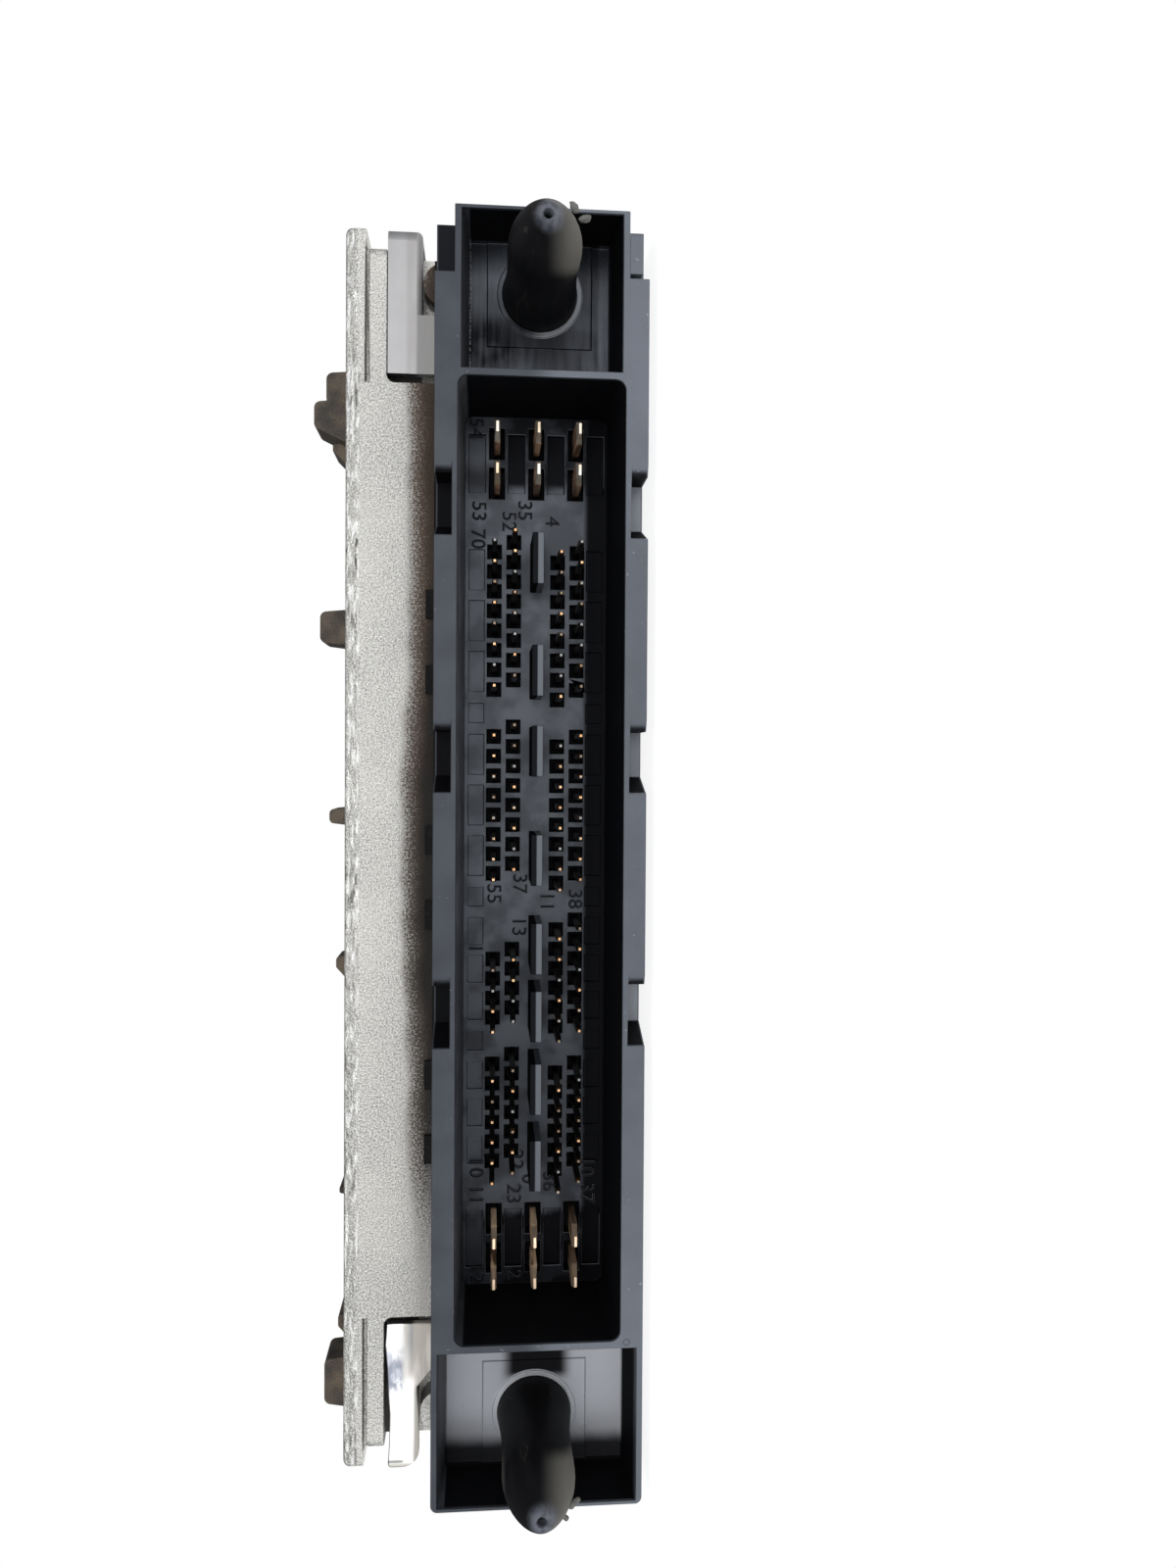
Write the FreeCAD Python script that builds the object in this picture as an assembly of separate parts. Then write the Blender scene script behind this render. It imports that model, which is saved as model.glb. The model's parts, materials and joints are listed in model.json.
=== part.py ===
import FreeCAD, Part
import math
import os

# Engine control unit that slides into its box plug first.
# A die-cast housing, closed by a pressed cover, carries a long moulded plug header on its front edge.
# The origin is the middle of the cover's outer face, on which the unit rests. +X runs along the header
# to its narrow end, +Y from the header to the back of the unit and +Z up. All sizes are millimetres.
# A height on the header is counted out of the housing's front face, towards the mating plug.
# The pin pitch and the pin groups set the header's length, and the header sets the housing's.

V = FreeCAD.Vector

# Signal pins and their cells in the header's floor
PIN_SIZE = 0.64
PIN_HEIGHT = 8.25
PIN_TIP = 0.9
PIN_TIP_SHARE = 0.45
PIN_FIT = 0.02
PIN_PITCH = 2.5
UPPER_GROUP_ROWS = 8
LOWER_GROUP_ROWS = 6
GROUP_GAP = 6.0
SHORT_GROUP = "c"
SHORT_ROWS = 4
FIELD_OFFSET = -0.6
OUTER_COLUMN = 5.27
INNER_COLUMN = 2.8
CELL = 1.8
CELL_DEPTH = 2.2
FIRST_TAIL = 2.0
TAIL_STEP = 2.5

# Power blades at both ends of the pin field
BLADE_T = 0.7
BLADE_W = 2.8
BLADE_HEIGHT = 8.0
BLADE_TIP = 2.2
BLADE_TIP_SHARE = 0.45
BLADE_SLOT_W = 2.0
BLADE_SLOT_L = 4.0
BLADE_PITCH = 5.0
BLADE_COLUMNS = 3
BLADE_GAP = 10.6

# Plug header
CAVITY_END = 5.8
CAVITY_WIDTH = 19.2
CAVITY_DRAFT = 0.6
CAVITY_R = 1.2
SHROUD_WALL = 2.6
BLOCK_CORNER_R = 0.8
RIM = 16.5
GASKET_T = 0.8
WEB = 0.8
POCKET_LENGTH = 17.9
POCKET_FLOOR = 7.3
POCKET_DRAFT = 0.8
END_WALL = 0.4
UPPER_POCKET_WIDTH = 18.4
UPPER_WALL = 0.75
LOWER_WALL = 0.7
FLOOR_T = 3.5
TAIL_MARGIN = 4.0
TAIL_INSET = 2.0
TAIL_FIT = 0.3

# Rim notches, and the shoulders beside the narrow end's pocket, one of which has a raised step
NOTCH_FLOOR = 11.0
SHOULDER_LENGTH = 7.6
STEP_END = 2.7
STEP_DROP = 0.2
STEP_INSET = 0.75
STEP_SLOT_W = 0.55
RIM_WALL = 0.6
NOTCH_COUNT = 3
NOTCH_PITCH = 29.2
NOTCH_MIDDLE = 12.6
NOTCH_LENGTH = 5.2
NOTCH_RAMP = 1.9
NOTCH_BEVEL = 1.35
NOTCH_BEVEL_DROP = 0.5

# Coding ribs and shallow recesses on the header's floor
RIB_PLACES = (36.4, 22.8, 13.0, -0.3, -11.1, -19.4, -28.3, -37.7)
RIB_LENGTH = 6.2
RIB_T = 1.4
RIB_HEIGHT = 8.0
SIDE_INSET = 1.5
SIDE_W = 2.0
SIDE_DEPTH = 0.35
SIDE_GAP = 1.3
SIDE_MARGIN = 0.3
SIDES_PER_GROUP = 3
SHORT_SIDE = 2.5
BLADE_RECESS_W = 2.2
BLADE_RECESS_L = 7.4
BLADE_RECESS_DEPTH = 0.8

# Gasket between header and housing
GASKET_MARGIN = 0.7
TAB_REACH = 1.0
TAB_LENGTH = 3.6
TAB_SPACING = 9.5
TAB_PITCH = 29.9
TAB_MIDDLE = -3.1

# Guide posts and their seats on the pocket floors
POST_INSET = 6.05
POST_R = 4.1
COLLAR_R = 4.45
COLLAR_RISE = 0.9
COLLAR_FLARE = 4.0
POST_FIT = 0.05
STEM_R = 3.0
STEM_DEPTH = 5.0
POST_SHOULDER = 20.4
POST_TIP = 29.0
POST_NOSE_R = 1.1
POST_HOLE_R = 0.5
POST_HOLE_DEPTH = 9.0
PAD_SIZE = 12.6
PAD_RISE = 0.25
RING_W = 0.6
RING_RISE = 0.5

# Retaining brackets
BRACKET_T = 1.2
BRACKET_W = 4.3
BRACKET_CLEAR = 2.3
BRACKET_STANDOFF = 1.2
BRACKET_FIT = 0.1
BRACKET_GAP = 1.1
BRACKET_TAB_LENGTH = 7.4
BRACKET_TAB_DROP = 5.5
BRACKET_LEG = 27.0
BRACKET_BEND_R = 1.6
BRACKET_EDGE_R = 0.7
BRACKET_SCREW_BACK = 21.5
BRACKET_SCREW_R = 1.0
BRACKET_HEAD_R = 1.9
BRACKET_HEAD_T = 1.1

# Housing
HEADER_INSET = 2.0
HEADER_LIFT = 0.3
TUB_DEPTH = 140.0
WALL = 3.0
ROOF_T = 2.6
ROOF_OVERHANG = 2.5
FRONT_CORNER_R = 1.3
BACK_CORNER_R = 9.0
ROOF_EDGE_R = 0.9
BEVEL_DROP = 0.5
BEVEL_WIDTH = 1.7

# Corner recesses in the housing's front wall, one at each end of the header, and the slit above them
RECESS_WALL = 1.7
RECESS_DEPTH = 4.0
RECESS_HEIGHT = 20.1
RECESS_R = 1.0
LEDGE = 2.2
SLIT_W = 0.5
SLIT_DEPTH = 1.2
LIP_T = 2.5
STUB_R = 2.8
STUB_HEIGHT = 3.4
STUB_INSET = 4.3

# Cooling fins on the roof
FIN_COUNT = 11
FIN_PITCH = 11.0
FIN_LENGTH = 88.0
FIN_BACK_GAP = 10.5
FIN_HEIGHT = 2.6
FIN_BASE = 2.6
FIN_TIP = 1.6

# Cast lugs on the roof. Each row: the roof end that it is measured from, its distance from that end,
# the length of its level top, the length of its ramp, its distance behind the front, and its height
ROOF_LUGS = ((1, 19.8, 3.4, 2.4, 8.0, 5.0), (1, 16.0, 3.8, 1.5, 8.0, 3.4), (1, 24.8, 1.0, 2.8, 10.0, 2.8),
             (1, 46.8, 4.2, 0.6, 14.0, 5.0), (1, 74.4, 2.0, 0.6, 24.0, 5.0), (-1, 60.6, 1.6, 5.6, 32.0, 5.0),
             (-1, 23.6, 1.0, 0.8, 36.0, 4.9), (-1, 16.4, 1.6, 1.8, 8.0, 1.6), (-1, 10.4, 6.0, 0.6, 8.0, 3.4))
LUG_DEPTH = 6.0
LUG_LEAN = 0.12
LUG_EDGE_R = 0.9
LUG_EDGE_SHARE = 0.35

# Cover, its seal and screws
COVER_T = 1.5
SEAL_W = 1.4
SEAL_H = 1.0
PANEL_RISE = 0.5
PANEL_LENGTH = 54.0
PANEL_DEPTH = 56.0
PANEL_SPLIT = 18.0
PANEL_BACK_GAP = 16.0
PANEL_R = 6.0
SCREW_R = 1.5
SCREW_FIT = 0.25
SCREW_HEAD_R = 3.1
SCREW_LENGTH = 9.0
SCREW_HEX_R = 1.15
HOLE_EXTRA = 1.0
BOSS_R = 4.2
BOSS_INSET = 3.0
BACK_BOSS_X = 25.0

# Circuit board and its screws
BOARD_BOTTOM = 4.2
BOARD_T = 1.6
BOARD_GAP = 0.8
BOARD_FRONT_GAP = 0.5
BOARD_POST_R = 3.6
BOARD_POST_INSET = 5.5
BOARD_POST_FRONT = 12.0
BOARD_SCREW_R = 1.25
BOARD_HEAD_R = 2.5
BOARD_HEAD_T = 1.2
BOARD_SCREW_LENGTH = 7.0

# Parts on the board: places along X and Y from the board's middle, sizes along X, Y and Z
MICRO_PLACE = (-8.0, 17.5)
MICRO_SIZE = (26.0, 26.0, 3.2)
MEMORY_PLACE = (22.0, 18.5)
MEMORY_SIZE = (12.0, 9.0, 2.2)
MEMORY_COUNT = 2
MEMORY_PITCH = 14.0
DRIVER_PLACE = (0.0, -16.5)
DRIVER_SIZE = (11.0, 13.0, 2.6)
DRIVER_COUNT = 4
DRIVER_PITCH = 16.0
TRANSISTOR_PLACE = (0.0, -36.5)
TRANSISTOR_SIZE = (6.6, 9.8, 2.3)
TRANSISTOR_COUNT = 6
TRANSISTOR_PITCH = 16.0
CHOKE_PLACE = (-46.0, 9.5)
CHOKE_SIZE = (15.0, 13.0, 9.0)
CRYSTAL_PLACE = (-32.0, 23.5)
CRYSTAL_SIZE = (4.6, 11.0, 3.6)
SENSOR_PLACE = (-48.0, 33.5)
SENSOR_SIZE = (9.0, 8.0, 4.0)
SENSOR_PORT_R = 1.5
SENSOR_PORT_RISE = 3.0
SENSOR_BORE_R = 0.7
SENSOR_BORE_DEPTH = 4.0
CAPACITOR_PLACE = (45.0, 30.5)
CAPACITOR_R = 6.2
CAPACITOR_HEIGHT = 20.0
CAPACITOR_COUNT = 3
CAPACITOR_PITCH = 15.0
CRIMP_HEIGHT = 3.0
CRIMP_DEPTH = 0.6
HEAT_PAD_PLACE = (0.0, -28.5)
HEAT_PAD_LENGTH = 100.0
HEAT_PAD_DEPTH = 16.0
CHAMFER_SHARE = 0.12

# What follows from the values above, along the header
PIN_ROWS = {"a": UPPER_GROUP_ROWS, "b": UPPER_GROUP_ROWS, "c": LOWER_GROUP_ROWS, "d": LOWER_GROUP_ROWS}
PIN_FIELD = (sum(PIN_ROWS.values()) - len(PIN_ROWS)) * PIN_PITCH + (len(PIN_ROWS) - 1) * GROUP_GAP
BLADE_X = PIN_FIELD / 2 + BLADE_GAP
HALF_CAVITY = BLADE_X + CAVITY_END
POCKET_START = HALF_CAVITY + WEB
POCKET_END = POCKET_START + POCKET_LENGTH
POST_X = POCKET_END - POST_INSET
HALF_BLOCK = POCKET_END + END_WALL
HALF_TAIL = BLADE_X + (BLADE_PITCH + BLADE_W) / 2 + TAIL_MARGIN
HALF_TUB = HALF_BLOCK + HEADER_INSET
HALF_ROOF = HALF_TUB + ROOF_OVERHANG
RECESS_START = HALF_TAIL + TAIL_FIT + RECESS_WALL
BRACKET_START = RECESS_START + BRACKET_GAP
BRACKET_END = HALF_TUB + BRACKET_STANDOFF + BRACKET_T

# What follows across the header and up through the housing
FLOOR_HALF_WIDTH = CAVITY_WIDTH / 2 - CAVITY_DRAFT
HALF_WIDTH = CAVITY_WIDTH / 2 + SHROUD_WALL
LOWER_POCKET_WIDTH = 2 * (HALF_WIDTH - LOWER_WALL)
PLUG_Z = HEADER_LIFT + GASKET_MARGIN + HALF_WIDTH
SEAL_TOP = COVER_T + SEAL_H
TAIL_BOTTOM = SEAL_TOP - PLUG_Z
TAIL_TOP = HALF_WIDTH - TAIL_INSET
BRACKET_Z = PLUG_Z + HALF_WIDTH + BRACKET_CLEAR
BRACKET_MIDDLE_Z = BRACKET_Z + BRACKET_W / 2
RECESS_TOP = BRACKET_Z + BRACKET_W + BRACKET_FIT
SLIT_Z = RECESS_TOP + LEDGE
HOUSING_TOP = SLIT_Z + SLIT_W + LIP_T
ROOF_BOTTOM = HOUSING_TOP - ROOF_T
ROOF_MIDDLE = HOUSING_TOP - ROOF_T / 2
BOARD_TOP = BOARD_BOTTOM + BOARD_T

# What follows from the front to the back
FRONT_Y = -TUB_DEPTH / 2
BACK_Y = TUB_DEPTH / 2
INNER_X = HALF_TUB - WALL
INNER_Y = BACK_Y - WALL
BOARD_FRONT = FRONT_Y + FLOOR_T + BOARD_FRONT_GAP
BOARD_BACK = INNER_Y - BOSS_INSET - BOSS_R - BOARD_GAP
BOARD_HALF_LENGTH = INNER_X - BOSS_INSET - BOSS_R - BOARD_GAP
BOARD_MIDDLE = (BOARD_FRONT + BOARD_BACK) / 2
BRACKET_SCREW_Y = FRONT_Y + BRACKET_SCREW_BACK
COLUMNS = (OUTER_COLUMN, INNER_COLUMN, -INNER_COLUMN, -OUTER_COLUMN)
STAGGER = (0.0, PIN_PITCH / 2, -PIN_PITCH / 2, 0.0)
TOUCH = 0.01


def box(x0, x1, y0, y1, z0, z1):
    return Part.makeBox(x1 - x0, y1 - y0, z1 - z0, V(x0, y0, z0))


def plug_box(x0, x1, h0, h1, z0, z1):
    """Box on the header: heights h out of the front face, z from the header's centre line."""
    return box(x0, x1, FRONT_Y - h1, FRONT_Y - h0, PLUG_Z + z0, PLUG_Z + z1)


def cylinder(radius, length, base, axis=V(0, 0, 1)):
    return Part.makeCylinder(radius, length, base, axis)


def other_end(shape):
    """The same shape at the other end of the unit."""
    return shape.mirror(V(0, 0, 0), V(1, 0, 0))


def tapered(near, far):
    """Flat-sided solid between two rectangles, each given as four corner points in the same order."""
    near = near + [near[0]]
    far = far + [far[0]]
    walls = [[near[i], near[i + 1], far[i + 1], far[i], near[i]] for i in range(4)]
    faces = [Part.Face(Part.makePolygon(points)) for points in [near, far] + walls]
    return Part.makeSolid(Part.makeShell(faces))


def upright(half_x, half_z, x, y, z):
    """Four corners of an upright rectangle about a centre."""
    return [V(x - half_x, y, z - half_z), V(x + half_x, y, z - half_z),
            V(x + half_x, y, z + half_z), V(x - half_x, y, z + half_z)]


def level(half_x, y0, y1, x, z):
    """Four corners of a level rectangle about x."""
    return [V(x - half_x, y0, z), V(x + half_x, y0, z), V(x + half_x, y1, z), V(x - half_x, y1, z)]


def extruded(points, direction):
    return Part.Face(Part.makePolygon(points + [points[0]])).extrude(direction)


def upright_edges(shape, wanted):
    """Edges along Z whose middle point passes the test."""
    found = []
    for edge in shape.Edges:
        size = edge.BoundBox
        if size.ZLength > 10 * (size.XLength + size.YLength) and wanted(size.Center):
            found.append(edge)
    return found


def outward_edges(shape, wanted):
    """Edges that run mostly along Y whose middle point passes the test."""
    found = []
    for edge in shape.Edges:
        size = edge.BoundBox
        if size.YLength > 10 * size.XLength and size.YLength > 5 * size.ZLength and wanted(size.Center):
            found.append(edge)
    return found


def rounded_plan(half_x, y0, y1, z0, z1, front_r, back_r):
    """Plate or block with rounded upright corners."""
    block = box(-half_x, half_x, y0, y1, z0, z1)
    middle = (y0 + y1) / 2
    block = block.makeFillet(front_r, upright_edges(block, lambda c: c.y < middle))
    return block.makeFillet(back_r, upright_edges(block, lambda c: c.y > middle))


def cover_screw_places():
    corner_x = INNER_X - BOSS_INSET
    back_y = INNER_Y - BOSS_INSET
    front_y = FRONT_Y + WALL + BOSS_INSET
    places = [(side * corner_x, y) for side in (-1, 1) for y in (front_y, 0.0, back_y)]
    return places + [(-BACK_BOSS_X, back_y), (BACK_BOSS_X, back_y)]


def board_screw_places():
    x = BOARD_HALF_LENGTH - BOARD_POST_INSET
    ends = (BOARD_FRONT + BOARD_POST_FRONT, BOARD_BACK - BOARD_POST_INSET)
    return [(side * x, y) for side in (-1, 1) for y in ends]


def seal_ring(z0, z1):
    """Ring that follows the middle of the housing's rim."""
    out = (WALL - SEAL_W) / 2
    inner = (WALL + SEAL_W) / 2
    ring = rounded_plan(HALF_TUB - out, FRONT_Y + out, BACK_Y - out, z0, z1,
                        FRONT_CORNER_R, BACK_CORNER_R - out)
    hole = rounded_plan(HALF_TUB - inner, FRONT_Y + inner, BACK_Y - inner, z0, z1,
                        FRONT_CORNER_R, BACK_CORNER_R - inner)
    return ring.cut(hole)


def roof_lug(end, from_end, length, ramp, back, height):
    """Cast lug: a leaning end, a level top and a ramp down towards -X."""
    x = end * (HALF_ROOF - from_end)
    y = FRONT_Y + back
    top = HOUSING_TOP + height
    far = x - length - ramp
    profile = [V(x + LUG_LEAN * height, y, ROOF_MIDDLE), V(x, y, top), V(x - length, y, top),
               V(far, y, HOUSING_TOP), V(far, y, ROOF_MIDDLE)]
    solid = extruded(profile, V(0, LUG_DEPTH, 0))
    radius = min(LUG_EDGE_SHARE * length, LUG_EDGE_R)
    return solid.makeFillet(radius, outward_edges(solid, lambda c: c.z > HOUSING_TOP + height / 2))


def fin(x):
    far = BACK_Y + ROOF_OVERHANG - FIN_BACK_GAP
    near = far - FIN_LENGTH
    draft = FIN_BASE - FIN_TIP
    return tapered(level(FIN_BASE / 2, near, far, x, ROOF_MIDDLE),
                   level(FIN_TIP / 2, near + draft, far - draft, x, HOUSING_TOP + FIN_HEIGHT))


def front_recess():
    """Corner recess in the front wall, with the slit above it that leaves the roof's lip free."""
    low = RECESS_TOP - RECESS_HEIGHT
    recess = box(RECESS_START, HALF_TUB, FRONT_Y, FRONT_Y + RECESS_DEPTH, low, RECESS_TOP)
    recess = recess.makeFillet(RECESS_R, outward_edges(recess, lambda c: c.x < RECESS_START + TOUCH))
    return recess.fuse(box(RECESS_START, HALF_TUB, FRONT_Y, FRONT_Y + SLIT_DEPTH, SLIT_Z, SLIT_Z + SLIT_W))


def recess_backing():
    """Wall that closes the corner recess towards the inside of the housing."""
    front = FRONT_Y + WALL
    low = RECESS_TOP - RECESS_HEIGHT - WALL
    return box(RECESS_START - WALL / 2, INNER_X, front, front + RECESS_DEPTH, low, ROOF_BOTTOM)


def roof_plate():
    roof = rounded_plan(HALF_ROOF, FRONT_Y, BACK_Y + ROOF_OVERHANG, ROOF_BOTTOM, HOUSING_TOP,
                        FRONT_CORNER_R, BACK_CORNER_R + ROOF_OVERHANG)
    rounded = [e for e in roof.Edges
               if e.BoundBox.ZMin > HOUSING_TOP - TOUCH and e.BoundBox.YMax > BACK_Y]
    roof = roof.makeFillet(ROOF_EDGE_R, rounded)
    bevel = extruded([V(-HALF_ROOF, FRONT_Y, HOUSING_TOP - BEVEL_WIDTH),
                      V(-HALF_ROOF, FRONT_Y + BEVEL_DROP, HOUSING_TOP),
                      V(-HALF_ROOF, FRONT_Y, HOUSING_TOP)], V(2 * HALF_ROOF, 0, 0))
    return roof.cut(bevel)


def tub():
    outside = rounded_plan(HALF_TUB, FRONT_Y, BACK_Y, COVER_T, ROOF_BOTTOM, FRONT_CORNER_R, BACK_CORNER_R)
    inside = rounded_plan(INNER_X, FRONT_Y + WALL, INNER_Y, COVER_T, ROOF_BOTTOM,
                          FRONT_CORNER_R, BACK_CORNER_R - WALL)
    return outside.cut(inside)


def header_window():
    """Opening in the front wall through which the header's tail reaches the board."""
    half = HALF_TAIL + TAIL_FIT
    return box(-half, half, FRONT_Y, FRONT_Y + WALL, COVER_T, PLUG_Z + TAIL_TOP + TAIL_FIT)


def cast_housing():
    added = [tub(), recess_backing(), other_end(recess_backing())]
    added += [cylinder(BOSS_R, ROOF_BOTTOM - COVER_T, V(x, y, COVER_T)) for x, y in cover_screw_places()]
    post = ROOF_BOTTOM - BOARD_TOP
    added += [cylinder(BOARD_POST_R, post, V(x, y, BOARD_TOP)) for x, y in board_screw_places()]
    added += [fin(FIN_PITCH * (i - (FIN_COUNT - 1) / 2)) for i in range(FIN_COUNT)]
    added += [roof_lug(*lug) for lug in ROOF_LUGS]
    body = roof_plate().fuse(added)
    removed = [front_recess(), other_end(front_recess()), header_window(), seal_ring(COVER_T, SEAL_TOP)]
    cover_hole = SCREW_LENGTH + HOLE_EXTRA - COVER_T
    removed += [cylinder(SCREW_R, cover_hole, V(x, y, COVER_T)) for x, y in cover_screw_places()]
    board_hole = BOARD_SCREW_LENGTH + HOLE_EXTRA - BOARD_T
    removed += [cylinder(BOARD_SCREW_R, board_hole, V(x, y, BOARD_TOP)) for x, y in board_screw_places()]
    body = body.cut(removed)
    body = body.fuse([bracket_stub(), other_end(bracket_stub()), bracket_seat(), other_end(bracket_seat())])
    drilled = bracket_bar(BRACKET_SCREW_R, HALF_TUB - WALL)
    return body.cut([drilled, other_end(drilled)]).removeSplitter()


def bracket_bar(radius, x_start, x_end=HALF_ROOF + WALL):
    """Round bar along X on the line of the bracket's screw."""
    return cylinder(radius, x_end - x_start, V(x_start, BRACKET_SCREW_Y, BRACKET_MIDDLE_Z), V(1, 0, 0))


def bracket_stub():
    """Round stub in the recess, just under the bracket."""
    base = V(HALF_TUB - STUB_INSET, FRONT_Y + RECESS_DEPTH, BRACKET_Z - BRACKET_FIT - STUB_R)
    return cylinder(STUB_R, STUB_HEIGHT, base, V(0, -1, 0))


def bracket_seat():
    """Cast pad on the housing's end wall, on which the bracket's leg is screwed down."""
    half = BRACKET_LEG - BRACKET_SCREW_BACK
    return box(HALF_TUB - WALL / 2, BRACKET_END - BRACKET_T, BRACKET_SCREW_Y - half, BRACKET_SCREW_Y + half,
               BRACKET_Z, BRACKET_Z + BRACKET_W)


def retaining_bracket():
    """Bent strip in the corner recess: a tab behind the header, a front face and a leg along the end wall."""
    back = FRONT_Y + BRACKET_T
    top = BRACKET_Z + BRACKET_W
    tab_end = BRACKET_START + BRACKET_TAB_LENGTH
    face = box(BRACKET_START, BRACKET_END, FRONT_Y, back, BRACKET_Z, top)
    leg = box(BRACKET_END - BRACKET_T, BRACKET_END, FRONT_Y, FRONT_Y + BRACKET_LEG, BRACKET_Z, top)
    tab = box(BRACKET_START, tab_end, FRONT_Y, back, BRACKET_Z - BRACKET_TAB_DROP, BRACKET_Z)
    lip = box(tab_end, BRACKET_END, FRONT_Y, back + BRACKET_T, BRACKET_Z, BRACKET_Z + BRACKET_T)
    bracket = face.fuse([leg, tab, lip]).removeSplitter()
    bend = upright_edges(bracket, lambda c: c.x > BRACKET_END - TOUCH and c.y < FRONT_Y + TOUCH)
    bracket = bracket.makeFillet(BRACKET_BEND_R, bend)
    low_edge = [e for e in bracket.Edges
                if e.BoundBox.XLength > BRACKET_TAB_LENGTH / 2 and e.BoundBox.YMax < FRONT_Y + TOUCH
                and abs(e.BoundBox.Center.z - BRACKET_Z) < TOUCH]
    bracket = bracket.makeFillet(BRACKET_EDGE_R, low_edge)
    return bracket.cut(bracket_bar(BRACKET_SCREW_R + SCREW_FIT, HALF_TUB))


def bracket_screw():
    shank = bracket_bar(BRACKET_SCREW_R, INNER_X, BRACKET_END)
    head = bracket_bar(BRACKET_HEAD_R, BRACKET_END, BRACKET_END + BRACKET_HEAD_T)
    return shank.fuse(head).removeSplitter()


def cover_panel(side, z0, z1, margin):
    """Pressed field of the cover, widened all round by a margin."""
    back = BACK_Y - PANEL_BACK_GAP
    block = rounded_plan(PANEL_LENGTH / 2 + margin, back - PANEL_DEPTH - margin, back + margin,
                         z0, z1, PANEL_R + margin, PANEL_R + margin)
    block.translate(V(side * (PANEL_SPLIT + PANEL_LENGTH) / 2, 0, 0))
    return block


def countersink(x, y, margin):
    """Cone of a flush screw head, widened by a margin."""
    return Part.makeCone(SCREW_HEAD_R + margin, SCREW_R + margin, COVER_T, V(x, y, 0))


def base_cover():
    plate = rounded_plan(HALF_TUB, FRONT_Y, BACK_Y, 0, COVER_T, FRONT_CORNER_R, BACK_CORNER_R)
    plate = plate.fuse([cover_panel(side, COVER_T, COVER_T + PANEL_RISE, COVER_T / 2) for side in (-1, 1)])
    cuts = [cover_panel(side, 0, PANEL_RISE, 0) for side in (-1, 1)]
    cuts += [countersink(x, y, SCREW_FIT) for x, y in cover_screw_places()]
    return plate.cut(cuts).removeSplitter()


def hexagon(radius, height, base):
    turns = [math.radians(60 * i) for i in range(6)]
    return extruded([base + V(radius * math.cos(t), radius * math.sin(t), 0) for t in turns], V(0, 0, height))


def cover_screws():
    screws = []
    for x, y in cover_screw_places():
        shank = cylinder(SCREW_R, SCREW_LENGTH - COVER_T, V(x, y, COVER_T))
        screw = countersink(x, y, 0).fuse(shank).cut(hexagon(SCREW_HEX_R, COVER_T, V(x, y, 0)))
        screws.append(screw.removeSplitter())
    return screws


def pin_groups():
    """For each group, the x of its rows from the narrow end of the header down."""
    x = FIELD_OFFSET + PIN_FIELD / 2
    groups = {}
    for name, rows in PIN_ROWS.items():
        groups[name] = [x - i * PIN_PITCH for i in range(rows)]
        x = groups[name][-1] - GROUP_GAP
    return groups


def pin_places(name):
    """x and column number of every pin of a group; the short group lacks its first rows above the ribs."""
    rows = pin_groups()[name]
    places = []
    for column in range(len(COLUMNS)):
        short = name == SHORT_GROUP and COLUMNS[column] > 0
        used = rows[-SHORT_ROWS:] if short else rows
        places += [(x + STAGGER[column], column) for x in used]
    return places


def blade_places(side):
    half = (BLADE_COLUMNS - 1) / 2
    columns = [BLADE_PITCH * (half - i) for i in range(BLADE_COLUMNS)]
    rows = [side * (BLADE_X + end * BLADE_PITCH / 2) for end in (-1, 1)]
    return [(x, z) for x in rows for z in columns]


def contact(x, z, width, thickness, height, tip, tip_share, tail):
    """Contact that stands at z above the centre line, bends down behind the header and ends on the board."""
    half = thickness / 2
    middle = PLUG_Z + z
    left = x - width / 2
    neck = FRONT_Y - (height - tip)
    bend = FRONT_Y + tail
    side_view = [V(left, neck, middle - half), V(left, bend - half, middle - half),
                 V(left, bend - half, BOARD_TOP), V(left, bend + half, BOARD_TOP),
                 V(left, bend + half, middle + half), V(left, neck, middle + half)]
    bent = extruded(side_view, V(width, 0, 0))
    point = tapered(upright(width / 2, half, x, neck, middle),
                    upright(width / 2 * tip_share, half * tip_share, x, FRONT_Y - height, middle))
    return bent.fuse(point).removeSplitter()


def signal_pins(name):
    last = len(COLUMNS) - 1
    return [contact(x, COLUMNS[column], PIN_SIZE, PIN_SIZE, PIN_HEIGHT, PIN_TIP, PIN_TIP_SHARE,
                    FLOOR_T + FIRST_TAIL + (last - column) * TAIL_STEP)
            for x, column in pin_places(name)]


def power_blades(side):
    blades = []
    for x, z in blade_places(side):
        row = round(z / BLADE_PITCH + (BLADE_COLUMNS - 1) / 2)
        tail = FLOOR_T + FIRST_TAIL + row * TAIL_STEP
        blades.append(contact(x, z, BLADE_W, BLADE_T, BLADE_HEIGHT, BLADE_TIP, BLADE_TIP_SHARE, tail))
    return blades


def floor_cut(x, z, length, width, top, depth):
    """Rectangular pocket in the header's floor about x and z, from a height down to a depth."""
    return plug_box(x - length / 2, x + length / 2, -depth, top, z - width / 2, z + width / 2)


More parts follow.
